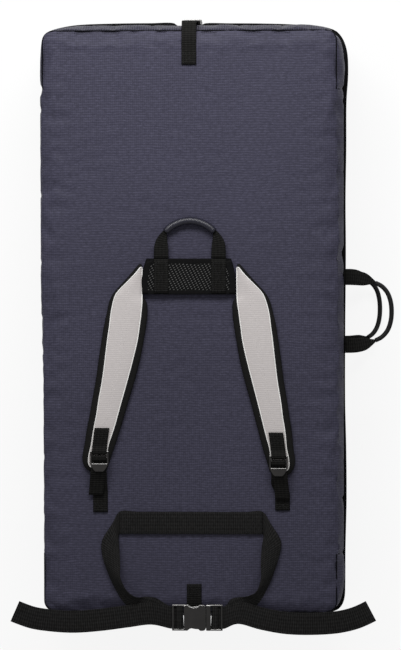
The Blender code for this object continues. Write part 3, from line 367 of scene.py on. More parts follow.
# %% Floor
FLOOR_HALF, FLOOR_Z, GLOW_SHARE = 9, -0.0005, 0.88
floor_data = bpy.data.meshes.new("floor")
bm = bmesh.new()
bmesh.ops.create_grid(bm, x_segments=1, y_segments=1, size=FLOOR_HALF)
bm.to_mesh(floor_data)
bm.free()
floor = bpy.data.objects.new("floor", floor_data)
floor.location.z = FLOOR_Z
scene.collection.objects.link(floor)
paper, tree = new_material("white_paper")
shader = tree.nodes["Principled BSDF"]
for label, value in (("Base Color", (0.9, 0.9, 0.9, 1)), ("Roughness", 0.9), ("Specular IOR Level", 0.1)):
    shader.inputs[label].default_value = value
rays = put(tree, "ShaderNodeLightPath").outputs
glow = put(tree, "ShaderNodeEmission", {"Color": (1, 1, 1, 1), "Strength": 1.0}).outputs[0]
share = sums(tree, "MULTIPLY", rays["Is Camera Ray"], GLOW_SHARE)
blend = put(tree, "ShaderNodeMixShader", {0: share, 1: shader.outputs[0], 2: glow})
tree.links.new(blend.outputs[0], tree.nodes["Material Output"].inputs["Surface"])
floor_data.materials.append(paper)
floor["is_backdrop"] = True

# %% [markdown]
# ## Making tools
#
# Most pieces are lofts: a closed section carried along rows of points. Webbing is the simplest of
# them, a thin rounded section between two edge rails. Its UV map is in metres, across and along,
# so its ribs keep their real size round every bend.

# %% Rows and lofts
def smooth_rows(rows, step):
    """Finer rows on a curve through the given ones, each row a list of points."""
    def carried_on(row, before):
        return [2 * a - b for a, b in zip(row, before)]

    middles = [sum(row, Vector()) / len(row) for row in rows]
    middles = [2 * middles[0] - middles[1], *middles, 2 * middles[-1] - middles[-2]]
    longer = [carried_on(rows[0], rows[1]), *rows, carried_on(rows[-1], rows[-2])]
    out = []
    for n in range(len(rows) - 1):
        mids = middles[n:n + 4]
        knots = [0.0]
        for a, b in zip(mids, mids[1:]):
            knots.append(knots[-1] + max((b - a).length, 1e-6) ** 0.5)
        t0, t1, t2, t3 = knots
        count = max(1, math.ceil((mids[2] - mids[1]).length / step))
        for k in range(count):
            t = t1 + (t2 - t1) * k / count
            row = []
            for p0, p1, p2, p3 in zip(*longer[n:n + 4]):
                a1 = p0.lerp(p1, (t - t0) / (t1 - t0))
                a2 = p1.lerp(p2, (t - t1) / (t2 - t1))
                a3 = p2.lerp(p3, (t - t2) / (t3 - t2))
                b1 = a1.lerp(a2, (t - t0) / (t2 - t0))
                b2 = a2.lerp(a3, (t - t1) / (t3 - t1))
                row.append(b1.lerp(b2, (t - t1) / (t2 - t1)))
            out.append(row)
    out.append([p.copy() for p in rows[-1]])
    return out


def smooth_line(line, step):
    return [row[0] for row in smooth_rows([[p] for p in line], step)]


def finish_mesh(name, bm, material):
    """A linked object from a bmesh, smoothly shaded."""
    bmesh.ops.recalc_face_normals(bm, faces=bm.faces[:])
    mesh = bpy.data.meshes.new(name)
    bm.to_mesh(mesh)
    bm.free()
    mesh.materials.append(material)
    for polygon in mesh.polygons:
        polygon.use_smooth = True
    ob = bpy.data.objects.new(name, mesh)
    scene.collection.objects.link(ob)
    return ob


def lay_uv(faces, layer, place):
    """Gives every corner of these faces its place on the flat cloth, in metres."""
    for face in faces:
        for corner in face.loops:
            corner[layer].uv = place(corner.vert)


def loft(name, rings, uvs, material, closed=False):
    """Skins a row of closed rings. Each ring point has its UV in metres."""
    bm = bmesh.new()
    layer = bm.loops.layers.uv.new("UVMap")
    grid = [[bm.verts.new(p) for p in ring] for ring in rings]
    places = {vert: uv for ring, spots in zip(grid, uvs) for vert, uv in zip(ring, spots)}
    pairs = list(zip(grid, grid[1:]))
    if closed:
        pairs.append((grid[-1], grid[0]))
    count = len(rings[0])
    for near, far in pairs:
        for n in range(count):
            m = (n + 1) % count
            bm.faces.new((near[n], near[m], far[m], far[n]))
    if not closed:
        bm.faces.new(grid[0])
        bm.faces.new(grid[-1])
    lay_uv(bm.faces, layer, places.get)
    return finish_mesh(name, bm, material)


# %% Webbing
def section(half_width, half_thick):
    """The rounded section of webbing: places across it and heights."""
    w, e = half_width, half_thick
    top = [(-w, 0.0), (-w + e * 0.6, e * 0.8), (-w + e * 1.6, e), (-w / 3, e), (w / 3, e)]
    top += [(w - e * 1.6, e), (w - e * 0.6, e * 0.8), (w, 0.0)]
    return top + [(a, -b) for a, b in top[-2:0:-1]]


def webbing(name, left, right, material=None, thick=WEB, step=0.006):
    """Webbing between two rails of points."""
    rows = smooth_rows([[Vector(a), Vector(b)] for a, b in zip(left, right)], step)
    rings, uvs, gone = [], [], 0.0
    for n, (a, b) in enumerate(rows):
        middle = (a + b) / 2
        ahead = rows[min(n + 1, len(rows) - 1)]
        behind = rows[max(n - 1, 0)]
        along = (ahead[0] + ahead[1] - behind[0] - behind[1]) / 2
        across = (b - a).normalized()
        up = across.cross(along).normalized()
        if n:
            gone += (middle - (rows[n - 1][0] + rows[n - 1][1]) / 2).length
        shape = section((b - a).length / 2, thick / 2)
        rings.append([middle + across * s + up * h for s, h in shape])
        uvs.append([(s, gone) for s, h in shape])
    print(name, "length in mm:", round(gone * 1000))
    return loft(name, rings, uvs, material or webbing_black)


def rails(points, half, axis=0):
    """The two edges of straight webbing, half its width either side of a line, along one axis."""
    sides = ([], [])
    for point in points:
        for rail, shift in zip(sides, (-half, half)):
            edge = list(point)
            edge[axis] += shift
            rail.append(Vector(edge))
    return sides


def line_rails(line, widths):
    """The two edges of webbing along a level line, its width square to the line."""
    sides = ([], [])
    for n, point in enumerate(line):
        ahead, behind = line[min(n + 1, len(line) - 1)], line[max(n - 1, 0)]
        across = (ahead - behind).cross(Vector((0, 0, 1))).normalized() * widths[n] / 2
        sides[0].append(point + across)
        sides[1].append(point - across)
    return sides


# %% Hanging a piece on the model
def trim(ob, body, slot):
    """A small piece with no solid of its own moves with a body. Its slot is not used."""
    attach(ob, body)
    return ob
def dress(ob, *nodes, fill=None):
    """The piece stands for these solids and moves with their body."""
    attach(ob, BODY_OF[nodes[0]])
    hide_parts(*nodes)
    return ob


def bend(ob, node, start, end):
    """The piece stands for a solid that bends between two bodies; the piece itself does not bend and moves
    with neither body.
    """
    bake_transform(ob)
    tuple(start)
    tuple(end)
    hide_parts(node)
    return ob


# %% [markdown]
# ## Panel covers
#
# Each cover is laminated nylon pulled tight over a block of foam. The carry face is flat, rolls
# down to a sewn seam near its edge, and the walls below bulge. Tight cloth puckers a little along
# a seam and folds at the corners. A fine box grid is shaped point by point, because these small
# moves follow the distance from the seams, which no modifier knows.

# %% Cover shape
CORNER, ROLL, EDGE_FALL, PANEL = 0.018, 0.030, 0.006, 0.0998
END_OUT, SIDE_OUT, HINGE_OUT = {1: 0.0110, -1: 0.0124}, 0.0112, 0.0026
CORNER_REACH, LEFT_CORNER_REACH = 0.070, 0.100
GUSSET_Y, FULLEST_Y, FULLER = 0.395, 0.435, 0.0035
SHOULDER_OUT, SHOULDER_AT, SHOULDER_WIDTH = 0.0040, 0.86, 0.13
(RIGHT_NIP, RIGHT_NIP_WIDTH), (LEFT_NIP, LEFT_NIP_WIDTH) = (0.0030, 0.006), (0.0035, 0.007)
PUCKER, PUCKER_REACH, SLACK, FOLD_DEPTH = 0.0011, 0.018, 0.0006, 0.0010
# Each end's closure: its name, its middle and where its webbing ends on the face, in pixels.
CLOSURES = {1: ("top", 189.4, 65.0), -1: ("bottom", 193.75, 584.0)}
CLOSURE_X = {end: spot(px, 0).x for end, (_, px, _) in CLOSURES.items()}
CLOSURE_HALF, CLOSURE_DENT = 0.022, 0.0010
PANELS = {"back": 1, "front": -1}
RIM = 0.9999


def end_of(y):
    """1 for the top end, -1 for the bottom end."""
    return 1 if y > 0 else -1


def ease(distance, reach):
    """Rises from 0 at a seam to 1, a reach away from it."""
    return 1 - (1 - clamp(distance / reach)) ** 2


def bell(distance, width):
    """1 at a place, falling to nothing a few widths away from it."""
    return math.exp(-((distance / width) ** 2))


def wall_out(x, y, c, on_end, way):
    """How far a wall stands out at a place, by how full the foam is and what holds it in."""
    swell = math.sin(math.pi * clamp(c)) ** 0.65
    from_corner = HALF_W - abs(x) if on_end else HALF_L - abs(y)
    share = 0.06 + 0.94 * ease(from_corner, LEFT_CORNER_REACH if x < 0 and on_end else CORNER_REACH)
    if on_end:
        pressed = clamp(2.0 - abs(x - CLOSURE_X[end_of(y)]) / CLOSURE_HALF) if way < 0 else 0.0
        return swell * (END_OUT[end_of(y)] * share - CLOSURE_DENT * pressed)
    if x > 0:
        fuller = FULLER * bell(abs(y) - FULLEST_Y, 0.030)
        nip = RIGHT_NIP * bell(abs(y) - GUSSET_Y, RIGHT_NIP_WIDTH)
        return swell * (SIDE_OUT * share + fuller - nip)
    shoulder = bell(c - SHOULDER_AT, SHOULDER_WIDTH) * ease(y + 0.10, 0.2)
    nip = LEFT_NIP * bell(abs(y) - GUSSET_Y, LEFT_NIP_WIDTH)
    return swell * HINGE_OUT * share + (SHOULDER_OUT * share - nip) * shoulder


def cover_point(a, b, c, way):
    """A point of a panel cover from its shares: across, along, and landing side to carry side."""
    x, y = a * HALF_W, b * HALF_L
    dx, dy = abs(x) - (HALF_W - CORNER), abs(y) - (HALF_L - CORNER)
    if dx > 0 and dy > 0:
        keep = max(dx, dy) / math.hypot(dx, dy)
        x = math.copysign(HALF_W - CORNER + dx * keep, x)
        y = math.copysign(HALF_L - CORNER + dy * keep, y)
    inner_x, inner_y = HALF_W * (1 - abs(a)), HALF_L * (1 - abs(b))
    edge = min(inner_x, inner_y)
    on_side, on_end = abs(a) > RIM, abs(b) > RIM
    fall = EDGE_FALL if on_side or on_end else EDGE_FALL * clamp(1 - edge / ROLL) ** 2
    z = MEET_Z + way * (GAP / 2 + c * (PANEL - fall))
    out_x = wall_out(x, y, c, False, way) if on_side else 0.0
    out_y = wall_out(x, y, c, True, way) if on_end else 0.0
    if c > RIM:
        around = x if inner_y < inner_x else y
        pucker = noise.noise(Vector((around * 42, edge * 18, 3.1 + way)))
        depth = PUCKER * math.exp(-edge / PUCKER_REACH) * (1 + pucker)
        slack = noise.noise(Vector((x * 6.0, y * 5.0, 9.0 * way))) + 1
        z -= way * (depth + SLACK * slack * clamp(edge / ROLL))
    elif c > 0.0001 and (on_side or on_end):
        around = x if on_end else y
        fold = noise.noise(Vector((around * 46, c * 2.2, 7.0 + way + (a > 0))))
        fold += 0.5 * noise.noise(Vector((around * 110, c * 3.0, 2.0 * way)))
        deep = FOLD_DEPTH * clamp(fold + 0.4, 0.0, 1.5) * math.sin(math.pi * clamp(c)) ** 0.5
        out_x = max(out_x - deep, 0.0) if out_x else 0.0
        out_y = max(out_y - deep, 0.0) if out_y else 0.0
    return Vector((x + math.copysign(out_x, x), y + math.copysign(out_y, y), z))


# %% Cover meshes
FINE, FINE_ROWS, COARSE = 0.004, 8, 0.0072
RISE = (0.0, 0.03, 0.07, 0.12, 0.19, 0.27, 0.36, 0.45, 0.54, 0.63, 0.72, 0.80, 0.87, 0.93, 0.97, 1.0)


def share_steps(half):
    """Shares from -1 to 1, closer together near both ends."""
    inner = [-1 + FINE * k / half for k in range(FINE_ROWS + 1)]
    count = round(2 * (half - FINE_ROWS * FINE) / COARSE)
    middle = [inner[-1] + (-2 * inner[-1]) * k / count for k in range(1, count)]
    return inner + middle + [-s for s in inner[::-1]]


def cover_mesh(name, way):
    """A cover's box of six sheets: the two end walls take the second finish, a darker copy of the slate that
    paints shade on them.
    """
    across, along = share_steps(HALF_W), share_steps(HALF_L)
    bm = bmesh.new()
    layer = bm.loops.layers.uv.new("UVMap")

    def patch(us, vs, where, uv, paint=0):
        grid = [[bm.verts.new(where(u, v)) for v in vs] for u in us]
        faces = []
        for row, following in zip(grid, grid[1:]):
            for j in range(len(vs) - 1):
                faces.append(bm.faces.new((row[j], following[j], following[j + 1], row[j + 1])))
                faces[-1].material_index = paint
        lay_uv(faces, layer, uv)

    for c in (0.0, 1.0):
        patch(across, along, lambda u, v: cover_point(u, v, c, way), lambda p: p.co.xy)
    for side in (-1.0, 1.0):
        # The end walls take the second finish, the darker slate with painted shade.
        patch(across, RISE, lambda u, v: cover_point(u, side, v, way), lambda p: p.co.zx, 1)
        patch(along, RISE, lambda u, v: cover_point(side, u, v, way), lambda p: p.co.zy)
    bmesh.ops.remove_doubles(bm, verts=bm.verts[:], dist=0.00002)
    ob = finish_mesh(name, bm, slate)
    ob.data.materials.append(slate_end_painted_shade)
    return ob


# %% [markdown]
# ## Letting the cloth settle
#
# Cloth pulled over foam is never quite smooth. The covers are cut a little too large and pushed out
# by the foam, while the seams hold them. A short cloth simulation with air pressure for the foam
# makes the small folds between the seams. What it moves is kept to a few millimetres, and never
# above the carry face, where the straps lie.

# %% Limits of the cloth
FACE_LEVEL, SEAM_LEVEL, AT_SEAM = 0.0999, 0.0936, 0.0005
LANDING_UNDER, FACE_OVER, GUSSET_HALF = 0.004, 0.0930, 0.004
FACE_GRIP, GRIP_REACH = 0.35, 0.05
HINGE_LIMIT, WALL_LIMIT, CLOSURE_ROOM = -0.2554, HALF_W + 0.0119, 0.045
HINGE_OUTWARD, HINGE_INWARD = 0.0008, 0.0010


def cover_hold(p):
    """1 on the seams and the landing side, none on the walls, and some on the flat face."""
    height = abs(p.z - MEET_Z)
    if height < LANDING_UNDER:
        return 1.0
    at_seam = min(HALF_W - abs(p.x), HALF_L - abs(p.y))
    if height > FACE_OVER:
        return 1.0 if abs(at_seam) < 0.0006 else FACE_GRIP * clamp(at_seam / GRIP_REACH)
    return 1.0 if abs(abs(p.y) - GUSSET_Y) < GUSSET_HALF else 0.0


def cover_keep(old, new, way):
    """Keeps the fabric under the face's level, behind the hinge and clear of the buckles."""
    on_face = min(HALF_W - abs(old.x), HALF_L - abs(old.y)) > AT_SEAM
    if on_face:
        new.x, new.y = old.x, old.y
    level = max(abs(old.z - MEET_Z), FACE_LEVEL if on_face else SEAM_LEVEL)
    new.z = MEET_Z + way * clamp(way * (new.z - MEET_Z), GAP / 2, level)
    new.x = clamp(new.x, HINGE_LIMIT, max(old.x, WALL_LIMIT))
    end = end_of(old.y)
    pressed = abs(old.x - CLOSURE_X[end]) < CLOSURE_ROOM
    reach = max(abs(old.y), HALF_L + (0.0 if pressed else END_OUT[end]))
    new.y = clamp(new.y, -reach, reach)
    if old.x < -HALF_W + AT_SEAM:
        new.x = clamp(new.x, old.x - HINGE_OUTWARD, old.x + HINGE_INWARD)
    return new


# %% Cloth simulation
FRAMES, FURTHEST, PRESSURE, SPARE_CLOTH = 20, 0.005, 4.0, 0.02


def settle(ob, way):
    """Runs cloth on a cover and moves its points by what it finds, within the limits."""
    mesh = ob.data
    start = [v.co.copy() for v in mesh.vertices]
    group = ob.vertex_groups.new(name="held")
    for v in mesh.vertices:
        group.add([v.index], cover_hold(v.co), "REPLACE")
    fabric = ob.modifiers.new("cloth", "CLOTH")
    rules = fabric.settings
    rules.quality = 4
    rules.mass = 0.2
    rules.tension_stiffness = rules.compression_stiffness = 25
    rules.shear_stiffness = 6
    rules.bending_stiffness = 0.4
    rules.vertex_group_mass = "held"
    rules.pin_stiffness = 2.0
    rules.shrink_min = -SPARE_CLOTH
    rules.use_pressure = True
    rules.uniform_pressure_force = PRESSURE
    rules.effector_weights.gravity = 0
    fabric.collision_settings.use_collision = False
    fabric.point_cache.frame_start, fabric.point_cache.frame_end = 1, FRAMES
    for number in range(1, FRAMES + 1):
        scene.frame_set(number)
    settled = ob.evaluated_get(bpy.context.evaluated_depsgraph_get())
    moved = [v.co.copy() for v in settled.data.vertices]
    ob.modifiers.remove(fabric)
    ob.vertex_groups.clear()
    scene.frame_set(1)
    furthest = 0.0
    for v, old, new in zip(mesh.vertices, start, moved):
        step = new - old
        if step.length > FURTHEST:
            step *= FURTHEST / step.length
        v.co = cover_keep(old, old + step, way)
        furthest = max(furthest, (v.co - old).length)
    print(ob.name, "settled, furthest move in mm:", round(furthest * 1000, 1))


for prefix, way in PANELS.items():
    ob = dress(cover_mesh(prefix + "_cover_fabric", way), prefix + "_cover", fill=1.0)
    settle(ob, way)
    print(ob.name, "faces:", len(ob.data.polygons))


# %% Foam blocks
FOAM_INSET, FOAM_LOWER, FOAM_EDGE = 0.014, 0.009, 0.004


def foam_block(node):
    """The foam in a cover: a block a little inside the solid's box, its edges softened."""
    inset = Vector((FOAM_INSET, FOAM_INSET, 0.0005))
    low, high = (Vector(corner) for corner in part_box(node))
    low, high = low + inset, high - inset
    if node == "back_foam_soft":
        high.z -= FOAM_LOWER
    if node == "front_foam_soft":
        low.z += FOAM_LOWER
    bm = bmesh.new()
    bmesh.ops.create_cube(bm, size=1.0)
    for vert in bm.verts:
        vert.co = [l + (h - l) * (c + 0.5) for l, h, c in zip(low, high, vert.co)]
    lay_uv(bm.faces, bm.loops.layers.uv.new("UVMap"), lambda vert: vert.co.xy)
    bmesh.ops.bevel(bm, geom=bm.edges[:], offset=FOAM_EDGE, segments=3, profile=0.5, affect="EDGES")
    return dress(finish_mesh(node + "_block", bm, foam_pale), node, fill=1.0)


for name in ("back_foam_soft", "back_foam_firm", "front_foam_soft", "front_foam_firm"):
    foam_block(name)


# %% Seam welts with painted shade
WELT, GUSSET_WELT = 0.0012, 0.0007


def along_line(line, closed=False):
    """At each point of a line: the point, two directions square to it, and the length so far."""
    gone, last = 0.0, len(line) - 1
    for n, p in enumerate(line):
        ahead = line[(n + 1) % len(line)] if closed else line[min(n + 1, last)]
        behind = line[n - 1] if closed or n else line[0]
        along = (ahead - behind).normalized()
        side = along.cross(Vector((0, 0, 1))).normalized()
        gone += (p - line[n - 1]).length if n else 0.0
        yield p, side, side.cross(along), gone


def tube(name, line, radius, material, sides=8, closed=False):
    """A thin round cord along a line."""
    turns = [2 * math.pi * k / sides for k in range(sides)]
    rings, uvs = [], []
    for p, side, up, gone in along_line(line, closed):
        rings.append([p + (side * math.cos(t) + up * math.sin(t)) * radius for t in turns])
        uvs.append([(t * radius, gone) for t in turns])
    return loft(name, rings, uvs, material, closed)


def rim_line(inset, way, end):
    """The seam between the face and an end wall, from one gusset round the end to the other."""
    a, b = 1 - inset / HALF_W, 1 - inset / HALF_L
    low = GUSSET_Y / HALF_L
    sides = [(a, low + (b - low) * n / 30) for n in range(30)]
    line = sides + [(a - 2 * a * n / 90, b) for n in range(91)] + [(-a, v) for u, v in sides[::-1]]
    return [cover_point(u, end * v, 1.0, way) for u, v in line]


# Each end seam and gusset gets a thin tube: its shape is the seam, and its near-black colour is painted shade
# of the groove.
for prefix, way in PANELS.items():
    body = prefix + "_panel"
    for end, label in ((1, "top"), (-1, "low")):
        welt_painted_shade = tube("%s_%s_welt" % (prefix, label), rim_line(0.0, way, end), WELT, seam_painted_shade)
        trim(welt_painted_shade, body, "cover")
    for side, side_name in ((1, "right"), (-1, "hinge")):
        for end, label in ((1, "top"), (-1, "low")):
            line = [cover_point(side, end * GUSSET_Y / HALF_L, c / 24, way) for c in range(1, 24)]
            name = "%s_gusset_%s_%s" % (prefix, side_name, label)
            trim(tube(name, line, GUSSET_WELT, seam_painted_shade), body, "cover")

# %% [markdown]
# ## Bound seams
#
# Round the landing side of each panel the cover's edges are trapped in folded tape, which stands
# out between the closed panels and draws the dark outline of the photograph. Its outer edge was
# read from the photograph, and its inner edge is the nearest place on the panel. Where an end
# closure passes, the tape is pressed flat to the wall.

# %% Bound seams
OUTLINE = (
    (57, 28.6), (68, 26.4), (80, 24.9), (110, 23.7), (150, 23.2), (174.5, 23.4), (177.8, 25.8),
    (201.2, 25.9), (204.5, 23.5), (230, 23.3), (255, 23.4), (280, 23.9), (300, 24.8), (320, 26.3),
    (330, 28.4), (337, 31.6), (342, 37.4), (345.5, 45), (347.5, 54), (348.2, 64), (348.1, 78),
    (346.6, 100), (346.3, 150), (345.6, 200), (345.9, 250), (345.3, 330), (345.2, 400), (346.3, 450),
    (346.6, 500), (345.5, 550), (345.3, 585), (344.8, 596), (343, 603), (339, 608.5), (331, 612),
    (318, 613.8), (290, 614.5), (250, 614.6), (208.5, 614.6), (205.5, 612.8), (182, 612.8),
    (179, 614.6), (140, 614.6), (100, 614.3), (80, 613.4), (66, 612), (57, 610.5),
)
TAPE, PRESSED_HALF, PRESSED_OUT = 0.0019, 0.0205, 0.0133
SEAM_OUT, SEAM_CORNER = 0.0014, 0.016


def nearest_edge(p, half_x, half_y, radius):
    """The nearest place on a rectangle with rounded corners."""
    x, y = clamp(p.x, radius - half_x, half_x - radius), clamp(p.y, radius - half_y, half_y - radius)
    inner = Vector((x, y, p.z))
    return inner + (p - inner).normalized() * radius


outer_line = [seen(px, py, MEET_Z) for px, py in OUTLINE]
for prefix, way in reversed(PANELS.items()):
    level_z = MEET_Z + way * (GAP / 2 + 0.001)
    outer = [Vector((p.x, p.y, level_z)) for p in outer_line]
    for p in outer:
        if abs(p.x - CLOSURE_X[end_of(p.y)]) < PRESSED_HALF and abs(p.y) > HALF_L:
            p.y = math.copysign(HALF_L + PRESSED_OUT, p.y)
    inner = [nearest_edge(p, HALF_W + SEAM_OUT, HALF_L + SEAM_OUT, SEAM_CORNER) for p in outer]
    tape = webbing(prefix + "_edge_binding_tape", inner, outer, binding_black, TAPE)
    dress(tape, prefix + "_edge_binding")

# %% [markdown]
# ## Hinge tape
#
# Along the left the landing sides are joined by a folded tape, made here folded as the closed pad holds it.
# When the pad opens the tape flattens between the two panels.

# %% Hinge tape
HINGE_HALF, HINGE_X, HINGE_LOW, HINGE_HIGH = 0.472, -0.253, 0.0993, 0.1007
# The tape's section: across the pad, and the height from where the panels meet.
FOLD = ((-0.2501, -0.0009), (-0.2535, -0.0007), (-0.2556, -0.0004), (-0.2560, 0.0),
        (-0.2556, 0.0004), (-0.2535, 0.0007), (-0.2501, 0.0009))
sides = [[Vector((x, y, MEET_Z + z)) for x, z in FOLD] for y in (-HINGE_HALF, HINGE_HALF)]
fold = webbing("fold_hinge_fabric", *sides, binding_black, thick=0.0005, step=0.001)
bend(fold, "fold_hinge_tape",
     (HINGE_X, 0, HINGE_LOW), (HINGE_X, 0, HINGE_HIGH))

# %% [markdown]
# ## Yoke and grab handle
#
# The yoke is a block of spacer mesh that joins the strap tops, its rim bound with tape. Two
# webbing tabs are sewn over it and run on as the grab handle, whose middle is rolled into a padded
# fabric grip.

# %% Yoke
YOKE, YOKE_ROLL, YOKE_TAPER = 0.008, 0.006, 0.10
yoke_low, yoke_high = spot(142.0, 293.8), spot(235.8, 258.0)
yoke_z = FACE_Z + GAP


def yoke_mesh(name, across=22, along=12):
    """The yoke: flat below, crowned above and rolled at the rim, narrower towards the top."""
    (x0, y0), (x1, y1) = yoke_low.xy, yoke_high.xy
    bm = bmesh.new()
    layer = bm.loops.layers.uv.new("UVMap")

    def place(i, j, top):
        u, v = i / across, j / along
        x, y = x0 + (x1 - x0) * u, y0 + (y1 - y0) * v
        x += ((x0 + x1) / 2 - x) * YOKE_TAPER * v ** 3
        rim = min(u * (x1 - x0), (1 - u) * (x1 - x0), v * (y1 - y0), (1 - v) * (y1 - y0))
        rise = 0.45 + 0.55 * clamp(rim / YOKE_ROLL) ** 0.5 if top else 0.0
        return Vector((x, y, yoke_z + YOKE * rise))

    below, above = [
        [[bm.verts.new(place(i, j, top)) for j in range(along + 1)] for i in range(across + 1)]
        for top in (False, True)
    ]
    for grid in (below, above):
        for i in range(across):
            for j in range(along):
                corners = grid[i][j], grid[i + 1][j], grid[i + 1][j + 1], grid[i][j + 1]
                face = bm.faces.new(corners)
                face.material_index = int(i in (0, across - 1) or j in (0, along - 1))
    rim = [(i, 0) for i in range(across)] + [(across, j) for j in range(along)]
    rim += [(i, along) for i in range(across, 0, -1)] + [(0, j) for j in range(along, 0, -1)]
    for (i, j), (k, m) in zip(rim, rim[1:] + rim[:1]):
        bm.faces.new((below[i][j], below[k][m], above[k][m], above[i][j])).material_index = 1
    lay_uv(bm.faces, layer, lambda vert: vert.co.xy)
    ob = finish_mesh(name, bm, mesh_black)
    ob.data.materials.append(binding_black)
    return ob


dress(yoke_mesh("yoke_spacer_mesh"), "yoke_pad", fill=0.6)

# %% Tabs and bindings of the yoke
TAB_PX = {"left": 161.7, "right": 218.9}
BINDING, BINDING_AT, SIDE_BINDING, SIDE_BINDING_AT = 0.0012, 0.93, 0.0014, 0.97
# The bindings along the yoke's upper and lower edge: left, right, top and bottom, in pixels.
BINDINGS_PX = (148.6, 229.4, 258.3, 263.4), (142.4, 235.4, 289.2, 293.6)
tab_z = yoke_z + YOKE + GAP + WEB / 2
tab_ys = (yoke_low.y + 0.0017, yoke_high.y - GAP - 0.0003)
for side, px in TAB_PX.items():
    sides = rails([(spot(px, 0).x, y, tab_z) for y in tab_ys], WEB_HALF)
    dress(webbing("handle_tab_webbing_" + side, *sides), "handle_tab_" + side)
for n, (px0, px1, py0, py1) in enumerate(BINDINGS_PX):
    a, b = spot(px0, py1), spot(px1, py0)
    z = yoke_z + YOKE * BINDING_AT
    sides = [[Vector((x, y, z)) for x in (a.x + 0.001, b.x - 0.001)] for y in (a.y, b.y)]
    trim(webbing("yoke_binding_%d" % n, *sides, binding_black, thick=BINDING), "back_panel", "binding")
for name, low_px, top_px in (
    ("left", (142.4, 148.6), (147.0, 153.0)),
    ("right", (229.2, 235.4), (225.0, 231.0)),
):
    z = yoke_z + YOKE * SIDE_BINDING_AT
    edges = zip(low_px, top_px, (261.0, 259.5))
    sides = [[spot(low, 293.0, z), spot(low, 276.0, z), spot(top, py, z)] for low, top, py in edges]
    band = webbing("yoke_side_binding_" + name, *sides, binding_black, thick=SIDE_BINDING, step=0.004)
    trim(band, "back_panel", "binding")


# %% Padded grip
SEAM_PINCH, END_SIZE, DRAWN_IN, UNEVEN = 0.10, 0.90, 0.62, 0.02


def grip(name, line, radius, material, flat=1.0, count=18):
    """A rolled padded sleeve: a fuller middle, drawn-in ends and a sewn seam underneath."""
    line = smooth_line(line, 0.004)
    turns = [2 * math.pi * k / count for k in range(count)]
    seams = [1 - SEAM_PINCH * bell(turn - 1.5 * math.pi, 0.3) for turn in turns]
    rings, uvs = [], []
    for n, (p, side, up, gone) in enumerate(along_line(line)):
        share = n / (len(line) - 1)
        size = radius * (END_SIZE + 0.10 * math.sin(math.pi * share) ** 0.4)
        size *= 1 + UNEVEN * noise.noise(p * 90)
        ring = []
        for turn, seam in zip(turns, seams):
            ring.append(p + (side * math.cos(turn) * flat + up * math.sin(turn)) * size * seam)
        rings.append(ring)
        uvs.append([(turn * radius, gone) for turn in turns])
    drawn_in = [[line[end] + (p - line[end]) * DRAWN_IN for p in rings[end]] for end in (0, -1)]
    rings = [drawn_in[0], *rings, drawn_in[1]]
    return loft(name, rings, [uvs[0], *uvs, uvs[-1]], material)


# %% Grab handle
HANDLE_MIDDLE, GRIP_START, GRIP_CORE, GRIP_RADIUS = 190.3, 4, 0.0072, 0.0062
# Half of the handle: its line in pixels, and the webbing's width as a share.
HANDLE_HALF = (
    (161.7, 258.0, 1.0), (161.6, 250.5, 0.98), (161.9, 243.5, 0.90), (163.2, 237.0, 0.62),
    (165.9, 231.2, 0.28), (170.9, 226.6, 0.28), (177.0, 223.2, 0.28), (183.5, 221.0, 0.28),
    (190.3, 220.3, 0.28),
)
other = tuple((2 * HANDLE_MIDDLE - px, py, share) for px, py, share in HANDLE_HALF[-2::-1])
first_y, grip_y = spot(0, HANDLE_HALF[0][1]).y, spot(0, HANDLE_HALF[GRIP_START][1]).y
grip_z = FACE_Z + GAP + 0.0065
line, widths = [], []
for px, py, share in HANDLE_HALF + other:
    p = spot(px, py)
    p.z = tab_z + (grip_z - tab_z) * min(1.0, (p.y - first_y) / (grip_y - first_y))
    p.y += GAP
    line.append(p)
    widths.append(max(STRAP_WEB * share, GRIP_CORE))
dress(webbing("grab_handle_web", *line_rails(line, widths)), "grab_handle_webbing")
sleeve = grip("grab_handle_padded_grip", line[GRIP_START:-GRIP_START], GRIP_RADIUS, grip_lilac)
dress(sleeve, "grab_handle_grip", fill=0.8)

# %% Suitcase handles
# Half of a handle: its reach, its spread and the webbing's width, all as shares.
SIDE_HALF = (
    (0.000, 1.00, 1.000), (0.120, 1.00, 1.000), (0.270, 0.985, 0.98), (0.420, 0.945, 0.84),
    (0.560, 0.885, 0.38), (0.620, 0.85, 0.180), (0.750, 0.745, 0.180), (0.860, 0.56, 0.180),
    (0.925, 0.30, 0.180), (0.945, 0.00, 0.180),
)
SPREAD, ROOT_Y, ROOT_IN, SLEEVE_FROM, SLEEVE_RADIUS = 0.058, 0.016, -0.0009, 5, 0.0048
full = SIDE_HALF + tuple((r, -s, w) for r, s, w in SIDE_HALF[-2::-1])
for name, root_z, droop, reach in (
    ("side_handle_back", 0.150, 0, 0.085),
    ("side_handle_front", 0.050, 32, 0.076),
):
    root = Matrix.Translation((HALF_W + 0.012 + 0.0013, ROOT_Y, root_z))
    place = root @ Matrix.Rotation(math.radians(droop), 4, "Y")
    line = [Vector((reach * r, SPREAD * s, 0)) for r, s, w in full]
    line[0].x = line[-1].x = ROOT_IN
    sides = line_rails(line, [STRAP_WEB * w for r, s, w in full])
    ob = webbing(name + "_web", *[[place @ p for p in side] for side in sides])
    dress(ob, name + "_webbing")
    middle = [place @ p for p in line[SLEEVE_FROM:-SLEEVE_FROM]]
    sleeve = grip(name + "_padded_grip", middle, SLEEVE_RADIUS, grip_black, flat=0.84)
    dress(sleeve, name + "_grip", fill=0.8)

# %% [markdown]
# ## Shoulder straps
#
# A strap is foam between a dark border and a light face, widest over the shoulder and tapering to
# the adjuster. Rows of points down the photograph give both edges. Each row gets a crowned section
# and the rows are joined by a smooth loft. The light face lies on the crown as its own thin piece,
# with a turned edge round it.

